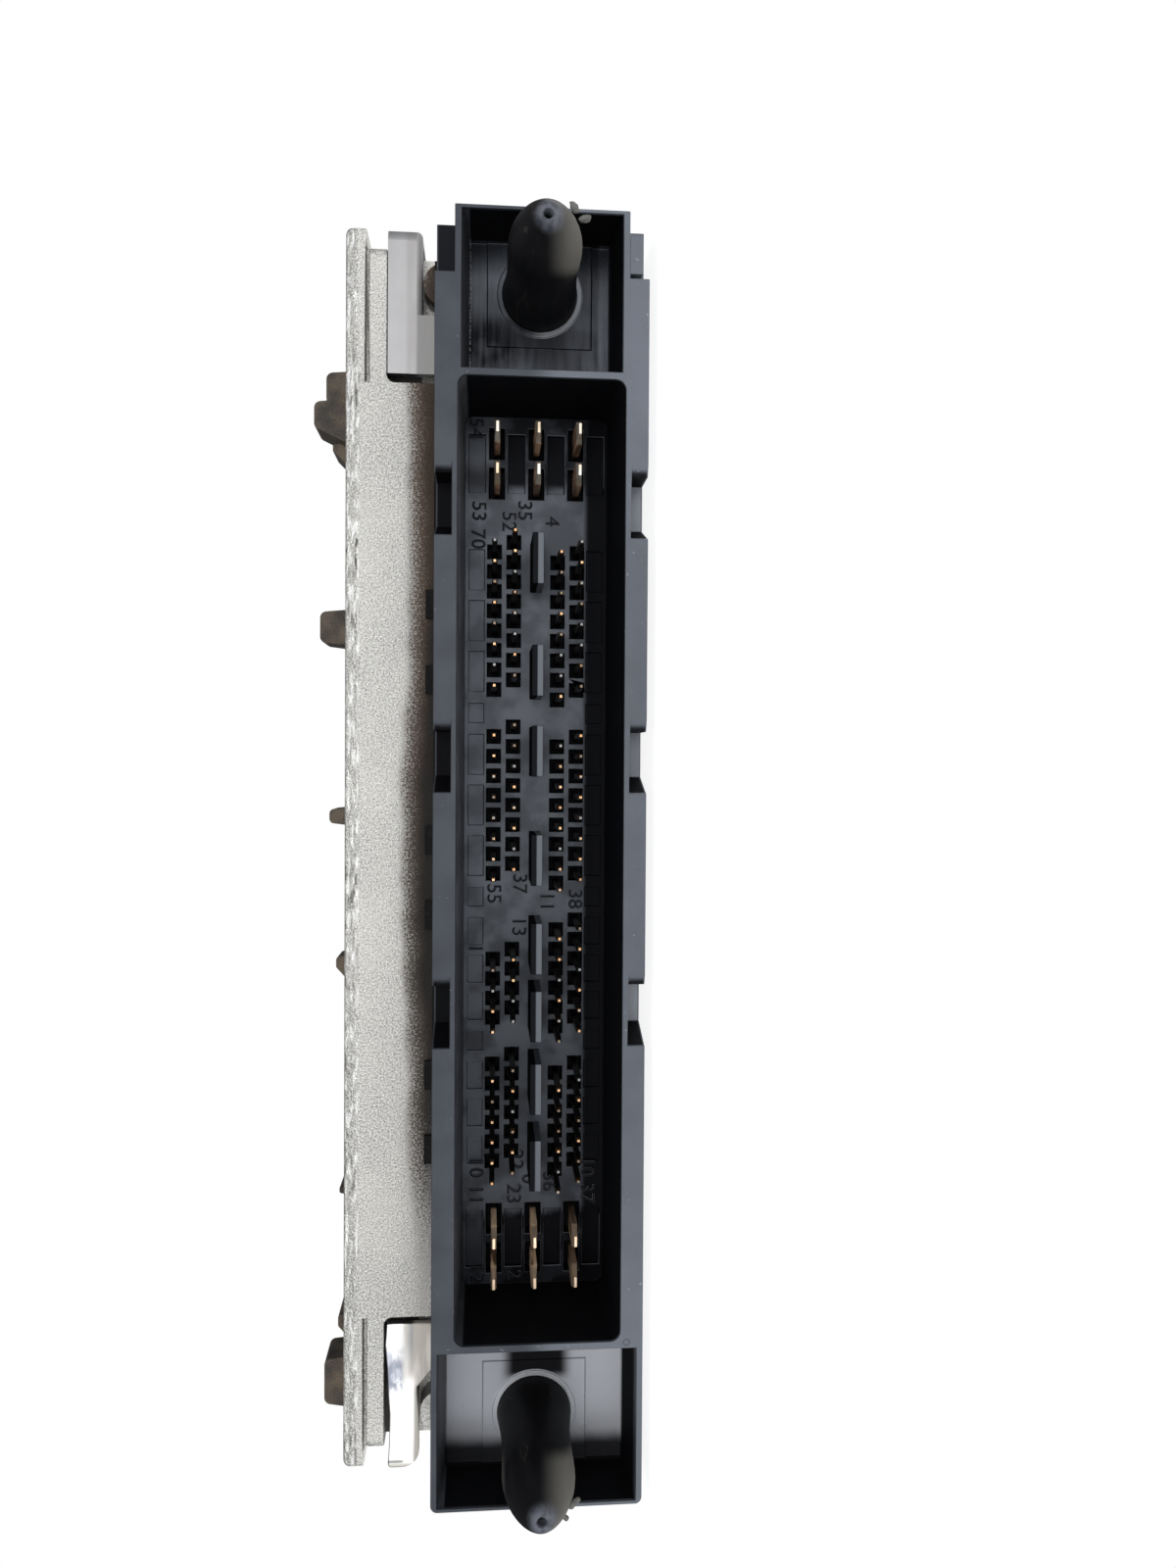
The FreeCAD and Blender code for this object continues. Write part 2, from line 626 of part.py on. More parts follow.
def cell_cuts():
    """Cells and slots in the header's floor, and the holes that grip the contacts below them."""
    cells = []
    grips = []
    pin_hole = PIN_SIZE + 2 * PIN_FIT
    for name in PIN_ROWS:
        for x, column in pin_places(name):
            cells.append(floor_cut(x, COLUMNS[column], CELL, CELL, 0, CELL_DEPTH))
            grips.append(floor_cut(x, COLUMNS[column], pin_hole, pin_hole, -CELL_DEPTH, FLOOR_T))
    for side in (-1, 1):
        for x, z in blade_places(side):
            cells.append(floor_cut(x, z, BLADE_SLOT_L, BLADE_SLOT_W, 0, CELL_DEPTH))
            grips.append(floor_cut(x, z, BLADE_W + 2 * PIN_FIT, BLADE_T + 2 * PIN_FIT, -CELL_DEPTH, FLOOR_T))
    return cells, grips


def side_spans():
    """Middle and length of the shallow recesses beside the pins: three by each group, one by each gap."""
    groups = list(pin_groups().values())
    spans = []
    for rows in groups:
        whole = rows[0] - rows[-1] + 2 * SIDE_MARGIN
        length = (whole - (SIDES_PER_GROUP - 1) * SIDE_GAP) / SIDES_PER_GROUP
        first = rows[0] + SIDE_MARGIN - length / 2
        spans += [(first - i * (length + SIDE_GAP), length) for i in range(SIDES_PER_GROUP)]
    spans += [((above[-1] + below[0]) / 2, SHORT_SIDE) for above, below in zip(groups, groups[1:])]
    return spans


def side_recesses():
    cuts = []
    for z in (FLOOR_HALF_WIDTH - SIDE_INSET, SIDE_INSET - FLOOR_HALF_WIDTH):
        cuts += [floor_cut(x, z, length, SIDE_W, 0, SIDE_DEPTH) for x, length in side_spans()]
    for side in (-1, 1):
        for i in range(BLADE_COLUMNS + 1):
            z = BLADE_PITCH * (i - BLADE_COLUMNS / 2)
            cuts.append(floor_cut(side * BLADE_X, z, BLADE_RECESS_L, BLADE_RECESS_W, 0, BLADE_RECESS_DEPTH))
    return cuts


def cavity():
    """Drafted space inside the shroud, with rounded corners."""
    space = tapered(upright(HALF_CAVITY, FLOOR_HALF_WIDTH, 0, FRONT_Y, PLUG_Z),
                    upright(HALF_CAVITY, CAVITY_WIDTH / 2, 0, FRONT_Y - RIM, PLUG_Z))
    return space.makeFillet(CAVITY_R, outward_edges(space, lambda c: True))


def notch(x, side):
    """One rim notch: upright at its +X end with a bevel at the rim, ramped at its -X end."""
    start = x + NOTCH_LENGTH / 2
    end = x - NOTCH_LENGTH / 2
    z = PLUG_Z + side * (CAVITY_WIDTH / 2 + RIM_WALL)
    profile = [V(start, FRONT_Y - NOTCH_FLOOR, z), V(start, FRONT_Y - RIM + NOTCH_BEVEL_DROP, z),
               V(start + NOTCH_BEVEL, FRONT_Y - RIM, z), V(end - NOTCH_RAMP, FRONT_Y - RIM, z),
               V(end, FRONT_Y - NOTCH_FLOOR, z)]
    return extruded(profile, V(0, 0, side * HALF_WIDTH))


def rim_cuts():
    """Notches along both flanks, and the shoulders beside the narrow end's pocket."""
    start = HALF_BLOCK - SHOULDER_LENGTH
    step_start = start + STEP_SLOT_W
    step_end = HALF_BLOCK - STEP_END
    wall = UPPER_POCKET_WIDTH / 2 + UPPER_WALL
    outside = 2 * HALF_WIDTH
    cuts = [notch(NOTCH_MIDDLE + (1 - i) * NOTCH_PITCH, side) for i in range(NOTCH_COUNT) for side in (-1, 1)]
    cuts += [plug_box(start, HALF_BLOCK, NOTCH_FLOOR, RIM, wall, outside),
             plug_box(step_end, HALF_BLOCK, NOTCH_FLOOR, RIM, -outside, -wall),
             plug_box(start, step_start, NOTCH_FLOOR, RIM, -outside, -wall),
             plug_box(step_start, step_end, RIM - STEP_DROP, RIM, -outside, -wall),
             plug_box(step_start, step_end, NOTCH_FLOOR, RIM, -outside, STEP_INSET - HALF_WIDTH)]
    return cuts


def pocket_cut(side, width):
    """Pocket that the guide post stands in, its two long walls drafted towards the floor."""
    half_x = POCKET_LENGTH / 2
    x = side * (POCKET_START + half_x)
    return tapered(upright(half_x, width / 2 - POCKET_DRAFT, x, FRONT_Y - POCKET_FLOOR, PLUG_Z),
                   upright(half_x, width / 2, x, FRONT_Y - RIM, PLUG_Z))


def on_post(side, radius, height, base):
    """Cylinder on a guide post's line, from a height outwards."""
    return cylinder(radius, height, V(side * POST_X, FRONT_Y - base, PLUG_Z), V(0, -1, 0))


def post_seat(side):
    """Raised pad and ring on a pocket's floor, round the guide post."""
    reach = min(PAD_SIZE / 2, POCKET_END - POST_X)
    x0, x1 = sorted((side * (POST_X - PAD_SIZE / 2), side * (POST_X + reach)))
    pad = plug_box(x0, x1, POCKET_FLOOR, POCKET_FLOOR + PAD_RISE, -PAD_SIZE / 2, PAD_SIZE / 2)
    hole = COLLAR_R + POST_FIT
    ring = on_post(side, hole + RING_W, RING_RISE, POCKET_FLOOR)
    return pad.fuse(ring).cut(on_post(side, hole, RING_RISE + PAD_RISE, POCKET_FLOOR))


def plug_header():
    block = plug_box(-HALF_BLOCK, HALF_BLOCK, GASKET_T, RIM, -HALF_WIDTH, HALF_WIDTH)
    block = block.makeFillet(BLOCK_CORNER_R, outward_edges(block, lambda c: c.x < 0))
    tail = plug_box(-HALF_TAIL, HALF_TAIL, -FLOOR_T, GASKET_T, TAIL_BOTTOM, TAIL_TOP)
    pockets = [pocket_cut(1, UPPER_POCKET_WIDTH), pocket_cut(-1, LOWER_POCKET_WIDTH)]
    body = block.fuse(tail).cut([cavity()] + pockets + rim_cuts())
    cells, grips = cell_cuts()
    body = body.cut(cells + side_recesses())
    body = body.cut(grips)
    ribs = [plug_box(x - RIB_LENGTH / 2, x + RIB_LENGTH / 2, 0, RIB_HEIGHT, -RIB_T / 2, RIB_T / 2)
            for x in RIB_PLACES]
    body = body.fuse(ribs + [post_seat(1), post_seat(-1)])
    bores = [on_post(side, STEM_R + POST_FIT, STEM_DEPTH, POCKET_FLOOR - STEM_DEPTH) for side in (-1, 1)]
    return body.cut(bores).removeSplitter()


def header_gasket():
    half_z = HALF_WIDTH + GASKET_MARGIN
    half_tab = TAB_LENGTH / 2
    sheet = plug_box(-HALF_BLOCK, HALF_BLOCK, 0, GASKET_T, -half_z, half_z)
    tabs = []
    for pair in (-1, 0, 1):
        for end in (-1, 1):
            x = TAB_MIDDLE + pair * TAB_PITCH + end * TAB_SPACING / 2
            tabs.append(plug_box(x - half_tab, x + half_tab, 0, GASKET_T, 0, half_z + TAB_REACH))
    fit = TAIL_FIT / 2
    hole = plug_box(-HALF_TAIL - fit, HALF_TAIL + fit, 0, GASKET_T, TAIL_BOTTOM - fit, TAIL_TOP + fit)
    return sheet.fuse(tabs).cut(hole).removeSplitter()


def guide_post(side):
    """Turned profile: stem in the header, flared collar, straight shank, domed nose with a small hole."""
    fall = POST_R - POST_NOSE_R
    rise = POST_TIP - POST_SHOULDER
    dome = (fall ** 2 + rise ** 2) / (2 * fall)
    half_turn = math.asin(rise / dome) / 2
    middle_r = POST_R - dome * (1 - math.cos(half_turn))
    middle_h = POST_SHOULDER + dome * math.sin(half_turn)

    def at(radius, height):
        return V(side * POST_X + radius, FRONT_Y - height, PLUG_Z)

    root = POCKET_FLOOR - STEM_DEPTH
    collar_top = POCKET_FLOOR + COLLAR_RISE
    hole_end = POST_TIP - POST_HOLE_DEPTH
    shank = [at(0, root), at(STEM_R, root), at(STEM_R, POCKET_FLOOR), at(COLLAR_R, POCKET_FLOOR),
             at(COLLAR_R, collar_top), at(POST_R, collar_top + COLLAR_FLARE), at(POST_R, POST_SHOULDER)]
    nose = [at(POST_NOSE_R, POST_TIP), at(POST_HOLE_R, POST_TIP), at(POST_HOLE_R, hole_end), at(0, hole_end),
            at(0, root)]
    edges = [Part.makeLine(a, b) for a, b in zip(shank, shank[1:])]
    edges.append(Part.Arc(shank[-1], at(middle_r, middle_h), nose[0]).toShape())
    edges += [Part.makeLine(a, b) for a, b in zip(nose, nose[1:])]
    return Part.Face(Part.Wire(edges)).revolve(at(0, root), V(0, 1, 0), 360)


def circuit_board():
    board = box(-BOARD_HALF_LENGTH, BOARD_HALF_LENGTH, BOARD_FRONT, BOARD_BACK, BOARD_BOTTOM, BOARD_TOP)
    hole_r = BOARD_SCREW_R + SCREW_FIT
    return board.cut([cylinder(hole_r, BOARD_T, V(x, y, BOARD_BOTTOM)) for x, y in board_screw_places()])


def board_screws():
    screws = []
    for x, y in board_screw_places():
        head = cylinder(BOARD_HEAD_R, BOARD_HEAD_T, V(x, y, BOARD_BOTTOM - BOARD_HEAD_T))
        shank = cylinder(BOARD_SCREW_R, BOARD_SCREW_LENGTH, V(x, y, BOARD_BOTTOM))
        screws.append(head.fuse(shank).removeSplitter())
    return screws


def in_row(count, pitch):
    """Places of a row of like parts about its middle."""
    return [pitch * (i - (count - 1) / 2) for i in range(count)]


def on_board(place, size, shift_x=0.0, shift_y=0.0):
    """Moulded body with its top edges broken, standing on the board."""
    x = place[0] + shift_x
    y = BOARD_MIDDLE + place[1] + shift_y
    length, depth, height = size
    body = box(x - length / 2, x + length / 2, y - depth / 2, y + depth / 2, BOARD_TOP, BOARD_TOP + height)
    top = [e for e in body.Edges if e.BoundBox.ZMin > BOARD_TOP + height - TOUCH]
    return body.makeChamfer(CHAMFER_SHARE * height, top)


def capacitor(shift_y):
    """Round can with a crimped groove near its foot."""
    x = CAPACITOR_PLACE[0]
    y = BOARD_MIDDLE + CAPACITOR_PLACE[1] + shift_y
    waist = CAPACITOR_R - CRIMP_DEPTH
    profile = [(0, 0), (CAPACITOR_R, 0), (CAPACITOR_R, CRIMP_HEIGHT - CRIMP_DEPTH), (waist, CRIMP_HEIGHT),
               (CAPACITOR_R, CRIMP_HEIGHT + CRIMP_DEPTH), (CAPACITOR_R, CAPACITOR_HEIGHT),
               (0, CAPACITOR_HEIGHT), (0, 0)]
    wire = Part.makePolygon([V(x + r, y, BOARD_TOP + h) for r, h in profile])
    return Part.Face(wire).revolve(V(x, y, BOARD_TOP), V(0, 0, 1), 360)


def heat_pad():
    """Soft pad that carries the heat of the chips through the board to the cover."""
    x0 = HEAT_PAD_PLACE[0] - HEAT_PAD_LENGTH / 2
    y0 = BOARD_MIDDLE + HEAT_PAD_PLACE[1] - HEAT_PAD_DEPTH / 2
    return box(x0, x0 + HEAT_PAD_LENGTH, y0, y0 + HEAT_PAD_DEPTH, COVER_T, BOARD_BOTTOM)


def pressure_sensor():
    x = SENSOR_PLACE[0]
    y = BOARD_MIDDLE + SENSOR_PLACE[1]
    lid = BOARD_TOP + SENSOR_SIZE[2]
    port = cylinder(SENSOR_PORT_R, SENSOR_PORT_RISE, V(x, y, lid))
    bore = cylinder(SENSOR_BORE_R, SENSOR_BORE_DEPTH, V(x, y, lid + SENSOR_PORT_RISE - SENSOR_BORE_DEPTH))
    return on_board(SENSOR_PLACE, SENSOR_SIZE).fuse(port).cut(bore)


def save(node, shape):
    solids = shape if isinstance(shape, list) else [shape]
    whole = solids[0] if len(solids) == 1 else Part.makeCompound(solids)
    whole.exportStep("parts/" + node + ".step")
    state = "valid" if whole.isValid() else "NOT VALID"
    print(node, len(whole.Solids), "solids", state, round(whole.Volume, 2))


def save_housing():
    save("cast_housing", cast_housing())
    save("base_cover", base_cover())
    save("cover_seal", seal_ring(COVER_T, SEAL_TOP))
    save("cover_screws", cover_screws())
    save("retaining_bracket_upper", retaining_bracket())
    save("retaining_bracket_lower", other_end(retaining_bracket()))
    save("bracket_screws", [bracket_screw(), other_end(bracket_screw())])


def save_header():
    save("plug_header", plug_header())
    save("header_gasket", header_gasket())
    for end, side in (("upper", 1), ("lower", -1)):
        save("guide_post_" + end, guide_post(side))
        save("power_blades_" + end, power_blades(side))
    for name in PIN_ROWS:
        save("signal_pins_" + name, signal_pins(name))


def save_board():
    save("circuit_board", circuit_board())
    save("board_screws", board_screws())
    save("heat_pad", heat_pad())
    save("microcontroller", on_board(MICRO_PLACE, MICRO_SIZE))
    save("memory_chips", [on_board(MEMORY_PLACE, MEMORY_SIZE, shift_y=y)
                          for y in in_row(MEMORY_COUNT, MEMORY_PITCH)])
    save("driver_chips", [on_board(DRIVER_PLACE, DRIVER_SIZE, shift_x=x)
                          for x in in_row(DRIVER_COUNT, DRIVER_PITCH)])
    save("power_transistors", [on_board(TRANSISTOR_PLACE, TRANSISTOR_SIZE, shift_x=x)
                               for x in in_row(TRANSISTOR_COUNT, TRANSISTOR_PITCH)])
    save("filter_capacitors", [capacitor(y) for y in in_row(CAPACITOR_COUNT, CAPACITOR_PITCH)])
    save("choke", on_board(CHOKE_PLACE, CHOKE_SIZE))
    save("crystal", on_board(CRYSTAL_PLACE, CRYSTAL_SIZE))
    save("pressure_sensor", pressure_sensor())


os.makedirs("parts", exist_ok=True)
save_housing()
save_header()
save_board()
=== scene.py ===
# %% [markdown]
# An engine control unit: a sand-textured aluminium casting with one long black plug header on its front
# edge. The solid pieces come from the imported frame, in metres, and stay where they are. This script gives
# them rounded edges, finishes and the small moulded and worn details, then adds the light and the camera.

# %% The frame
import bpy
import json
import math
from mathutils import Matrix, Vector


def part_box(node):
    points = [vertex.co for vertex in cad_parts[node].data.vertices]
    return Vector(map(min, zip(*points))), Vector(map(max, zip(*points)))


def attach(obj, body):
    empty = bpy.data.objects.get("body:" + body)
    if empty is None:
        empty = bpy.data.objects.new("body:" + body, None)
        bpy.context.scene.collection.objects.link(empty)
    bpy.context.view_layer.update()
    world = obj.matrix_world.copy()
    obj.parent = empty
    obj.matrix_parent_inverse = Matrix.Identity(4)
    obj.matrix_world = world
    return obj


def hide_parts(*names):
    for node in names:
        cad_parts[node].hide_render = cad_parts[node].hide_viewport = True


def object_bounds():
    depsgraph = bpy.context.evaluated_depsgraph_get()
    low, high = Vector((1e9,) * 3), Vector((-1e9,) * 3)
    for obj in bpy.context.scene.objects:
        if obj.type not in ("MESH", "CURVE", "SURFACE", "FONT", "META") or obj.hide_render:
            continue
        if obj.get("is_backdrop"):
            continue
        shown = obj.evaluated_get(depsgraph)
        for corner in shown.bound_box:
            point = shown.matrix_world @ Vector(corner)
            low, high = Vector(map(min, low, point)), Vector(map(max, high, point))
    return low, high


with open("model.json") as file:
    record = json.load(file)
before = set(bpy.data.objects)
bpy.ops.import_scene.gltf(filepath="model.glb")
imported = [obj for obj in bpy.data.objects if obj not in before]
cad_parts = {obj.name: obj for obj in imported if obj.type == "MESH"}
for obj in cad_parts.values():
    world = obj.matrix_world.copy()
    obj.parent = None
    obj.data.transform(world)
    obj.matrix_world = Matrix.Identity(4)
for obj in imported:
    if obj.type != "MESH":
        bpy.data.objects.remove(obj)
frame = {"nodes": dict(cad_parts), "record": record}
cad_low, cad_high = (Vector(corner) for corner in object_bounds())
nodes = frame["nodes"]
print("CAD box", tuple(cad_low), tuple(cad_high))

# %% [markdown]
# Blender works in metres, but a maker of this unit thinks in millimetres, so every size below is in
# millimetres and meets one factor on its way into Blender. X runs along the header to its narrow end, Y
# from the header to the back and Z up to the roof. The frame gives the places that matter: the front face
# of the casting, the rim of the header in front of it and the two guide posts, which both stand at the
# height of the header's middle.

# %% Places on the unit
MM = 0.001


def metres(*sizes):
    return [size * MM for size in sizes]


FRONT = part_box("header_gasket")[1].y / MM
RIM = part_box("plug_header")[0].y / MM
POST_X = {}
for side in ("upper", "lower"):
    post_low, post_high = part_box("guide_post_" + side)
    POST_X[side] = (post_low.x + post_high.x) / 2 / MM
    MIDDLE = (post_low.z + post_high.z) / 2 / MM
print("front", FRONT, "rim", RIM, "middle", MIDDLE, "posts", POST_X)

# %% [markdown]
# A shader is easier to read as maths than as boxes and wires. This class stands for one output of a node,
# and its operators add the Math nodes that an expression needs, also where the number comes first, as in
# 1 - mask. The owner is the node tree that the output belongs to. A mask is a value between 0 and 1 that
# says where on the unit something shows.


# %% Shader maths as expressions
class Value:
    def __init__(self, owner, output):
        self.owner = owner
        self.output = output

    def maths(self, operation, *values):
        return self.owner.node("ShaderNodeMath", {"operation": operation}, dict(enumerate(values)))

    def __add__(self, other):
        return self.maths("ADD", self, other)

    def __sub__(self, other):
        return self.maths("SUBTRACT", self, other)

    def __rsub__(self, other):
        return self.maths("SUBTRACT", other, self)

    def __mul__(self, other):
        return self.maths("MULTIPLY", self, other)

    __radd__ = __add__
    __rmul__ = __mul__

    def size(self):
        return self.maths("ABSOLUTE", self)

    def least(self, other):
        return self.maths("MINIMUM", self, other)

    def most(self, other):
        return self.maths("MAXIMUM", self, other)

    def rise(self, low, high):
        """0 below low, 1 above high and a smooth step between."""
        inputs = {"Value": self, "From Min": low, "From Max": high}
        return self.owner.node("ShaderNodeMapRange", {"interpolation_type": "SMOOTHSTEP"}, inputs)

    def fall(self, low, high):
        """1 below low, 0 above high and a smooth step between."""
        return 1 - self.rise(low, high)

    def band(self, low, high, soft):
        """1 between low and high, falling to 0 over soft on both sides."""
        return self.rise(low - soft, low + soft) * self.fall(high - soft, high + soft)


# %% [markdown]
# A Nodes object holds one node tree, of a material or of the world. Its node method is the only place
# where nodes are made: it takes the type, the settings, which are set first, and the sockets' values or
# links. The patterns that the finishes share are kept here too: noise for grain and clouds, which a
# stretch below 1 draws out into streaks along that axis, and the edges of Voronoi cells for fine lines.


# %% Node trees
class Nodes:
    def __init__(self, tree, coordinates):
        self.tree = tree
        self.place = self.node("ShaderNodeTexCoord", {}, {}, coordinates)
        split = self.node("ShaderNodeSeparateXYZ", {}, {"Vector": self.place}, None)
        self.x, self.y, self.z = (Value(self, split.outputs[axis]) for axis in "XYZ")

    def node(self, kind, settings, inputs, output=0):
        """Adds a node and gives one of its outputs, or the node itself where output is None."""
        made = self.tree.nodes.new(kind)
        for name, value in settings.items():
            setattr(made, name, value)
        for name, value in inputs.items():
            if isinstance(value, Value):
                self.tree.links.new(value.output, made.inputs[name])
            else:
                made.inputs[name].default_value = value
        return made if output is None else Value(self, made.outputs[output])

    def stretched(self, stretch):
        return self.node("ShaderNodeMapping", {}, {"Vector": self.place, "Scale": stretch})

    def noise(self, scale, detail=2.0, stretch=(1, 1, 1)):
        inputs = {"Vector": self.stretched(stretch), "Scale": scale, "Detail": detail}
        return self.node("ShaderNodeTexNoise", {}, inputs)

    def cell_edges(self, scale, stretch=(1, 1, 1)):
        inputs = {"Vector": self.stretched(stretch), "Scale": scale}
        return self.node("ShaderNodeTexVoronoi", {"feature": "DISTANCE_TO_EDGE"}, inputs)

    def blend(self, share, first, second):
        """Colour between first and second, by a share or a mask."""
        colours = [c if isinstance(c, Value) else (*c, 1) for c in (first, second)]
        return self.node("ShaderNodeMix", {"data_type": "RGBA"}, {0: share, 6: colours[0], 7: colours[1]}, 2)

    def mix_to(self, end, share, first, second):
        """Mixes two shaders by a share and links them to the tree's end node."""
        mixed = self.node("ShaderNodeMixShader", {}, {0: share, 1: first, 2: second})
        self.tree.links.new(mixed.output, self.tree.nodes[end].inputs["Surface"])


# %% [markdown]
# A finish is the node tree of one material. Patterns read Object coordinates, which are the unit's own,
# so a grain of 0.3 mm is a noise of scale 3000 everywhere, and x, y and z are given in millimetres. A
# number that is the same all over goes on the shader's own socket, and what changes over the surface is
# fed to it.


# %% Finishes
class Finish(Nodes):
    def __init__(self, name, **constants):
        self.name = name
        self.material = bpy.data.materials.new(name)
        self.material.use_nodes = True
        super().__init__(self.material.node_tree, "Object")
        self.x, self.y, self.z = (axis * (1 / MM) for axis in (self.x, self.y, self.z))
        self.shader = self.tree.nodes["Principled BSDF"]
        for socket, value in constants.items():
            self.shader.inputs[socket.replace("_", " ").title().replace("Ior", "IOR")].default_value = value

    def feed(self, socket, value):
        self.tree.links.new(value.output, self.shader.inputs[socket])

    def bump(self, height, strength, distance):
        inputs = {"Height": height, "Strength": strength, "Distance": distance * MM}
        self.feed("Normal", self.node("ShaderNodeBump", {}, inputs))

    def gap(self, *point):
        """Distance in millimetres to a point."""
        inputs = {0: self.place, 1: metres(*point)}
        return self.node("ShaderNodeVectorMath", {"operation": "DISTANCE"}, inputs, "Value") * (1 / MM)

    def near(self, point, radius, soft):
        """1 within a radius of a point, falling to 0 over soft."""
        return self.gap(*point).fall(radius, radius + soft)

    def cover_with(self, share, shader):
        """Lets another shader take over where the share says so."""
        self.mix_to("Material Output", share, Value(self, self.shader.outputs[0]), shader)


finishes = {}


def keep(finish):
    finishes[finish.name] = finish
    print("finish", finish.name, len(finish.tree.nodes), "nodes")


# %% [markdown]
# The casting is bare die-cast aluminium. Its skin is a fine sandy grain with bright and dark specks. Where it
# runs in under the header's flank it turns brown to black: a brown stain, and painted shade from the header's
# flank that is near black right beside it. Both depend on place only, so their mask is made of the height and
# the depth: its edge wanders with a coarse noise and crumbles with the grain.


# %% Cast aluminium: grain and stain
def sandy_skin(finish, grain):
    specks = finish.noise(6500, 1)
    base = finish.blend(grain.rise(0.32, 0.68), (0.23, 0.226, 0.215), (0.515, 0.511, 0.492))
    base = finish.blend(finish.noise(90, 3).rise(0.35, 0.7) * 0.35, base, (0.50, 0.49, 0.46))
    base = finish.blend(specks.rise(0.60, 0.70) * 0.6, base, (0.92, 0.91, 0.87))
    return finish.blend(specks.fall(0.33, 0.42) * 0.5, base, (0.14, 0.13, 0.12)), specks


def stained_and_shaded(finish, base, grain, front):
    """The skin with its stain and painted shade, and the mask of both."""
    wander = (finish.noise(160, 4) - 0.5) * 1.9
    along = (finish.x.rise(-58, -25) * 0.65 + 0.35) * finish.x.rise(-61, -59)
    height = finish.z + wander + (finish.x.size().rise(4, 28) - 0.35) * 0.8
    # Painted shade: near black right beside the header's flank.
    deepest_shade = height.fall(26.6, 28.6) * front
    clean = height.rise(26.0, 31.4)
    # Brown stain and painted shade of the header, weaker towards the lower end.
    stain_and_shade = (1 - clean * clean) * front * along
    crumble = (grain.rise(0.34, 0.66) - 0.5) * stain_and_shade.rise(0.1, 0.5) * (0.8 - deepest_shade * 0.5)
    grit = (stain_and_shade * 1.1 + crumble).rise(0.2, 1.0)
    brown = finish.blend(finish.x.rise(-10, 32), (0.030, 0.022, 0.017), (0.058, 0.033, 0.020))
    brown = finish.blend(grain.rise(0.50, 0.62) * 0.35, brown, (0.15, 0.105, 0.075))
    brown = finish.blend(deepest_shade * (0.95 - finish.x.rise(28, 36) * 0.4), brown, (0.006, 0.004, 0.003))
    return finish.blend(grit * 0.96, base, brown), stain_and_shade


# %% [markdown]
# The lip of the roof is paler and scuffed, with one larger chip. The lugs on the roof are painted dark brown
# as shade, mottled with some lighter tones, and the narrow slots beside the two brackets are painted nearly
# black inside as shade.


# %% Cast aluminium: lip, lugs and slots
def scuffed_lip(finish, base, lip, scuffs):
    chip = finish.near((38.6, FRONT, 36.6), 2.0, 2.2)
    worn = finish.noise(120, 2).rise(0.50, 0.60) * 0.7 + chip
    base = finish.blend(lip * scuffs.fall(0.36, 0.50) * 0.6, base, (0.84, 0.84, 0.83))
    return finish.blend(lip * worn.least(1) * scuffs.rise(0.56, 0.60) * 0.9, base, (0.05, 0.05, 0.05))


def cast_aluminium():
    finish = Finish("cast_aluminium")
    grain = finish.noise(4000, 3)
    scuffs = finish.noise(1500, 3, stretch=(0.3, 1, 1.4))
    front = finish.y.fall(FRONT + 1, FRONT + 4)
    lip = finish.z.rise(35.3, 35.7) * front
    # Painted shade: the lugs are darkened to a mottled brown and the slots nearly to black.
    shaded_lugs = finish.z.rise(37.5, 37.9) * finish.y.fall(-29, -27)
    shaded_slots = finish.x.size().rise(59.2, 59.4) * finish.z.band(27.9, 32.2, 0.2)
    shaded_slots = shaded_slots * finish.y.band(FRONT + 0.9, FRONT + 4.3, 0.15)
    base, specks = sandy_skin(finish, grain)
    base, stain_and_shade = stained_and_shaded(finish, base, grain, front)
    base = scuffed_lip(finish, base, lip, scuffs)
    lug_shade_mottle = (finish.noise(260, 2) * 0.7 + grain * 0.3).rise(0.35, 0.62)
    # Painted shade on the lugs.
    base = finish.blend(shaded_lugs, base, finish.blend(lug_shade_mottle, (0.012, 0.008, 0.005), (0.085, 0.062, 0.040)))
    # Painted shade in the slots.
    finish.feed("Base Color", finish.blend(shaded_slots * 0.9, base, (0.02, 0.016, 0.013)))
    finish.feed("Roughness", 0.42 + grain * 0.2 + stain_and_shade * 0.2)
    finish.feed("Metallic", (0.85 - stain_and_shade * 0.1 - shaded_lugs * 0.6 - shaded_slots * 0.6).most(0))
    finish.bump(grain * 0.8 + specks * 0.6 + lip * scuffs, 0.9, 0.12)
    return finish


keep(cast_aluminium())


# %% [markdown]
# The cover is rolled sheet, so its finish is satin with a faint direction. The brackets are bright strip that
# was bent after rolling, with long soft streaks and a few dents in the shine. The lower one has more marks: a
# painted blue-grey reflection on its face, cream streaks next to its tab, a beige tab and edge, and painted
# shade in the crease at its outer end, where the rolled end is darker too.


# %% Sheet aluminium
def pressed_aluminium():
    finish = Finish("pressed_aluminium", metallic=0.95)
    rolling = finish.noise(900, 2, stretch=(0.06, 1, 1))
    finish.feed("Base Color", finish.blend(finish.noise(45, 2), (0.56, 0.56, 0.55), (0.70, 0.70, 0.69)))
    finish.feed("Roughness", 0.28 + rolling * 0.16)
    finish.bump(rolling, 0.12, 0.05)
    return finish


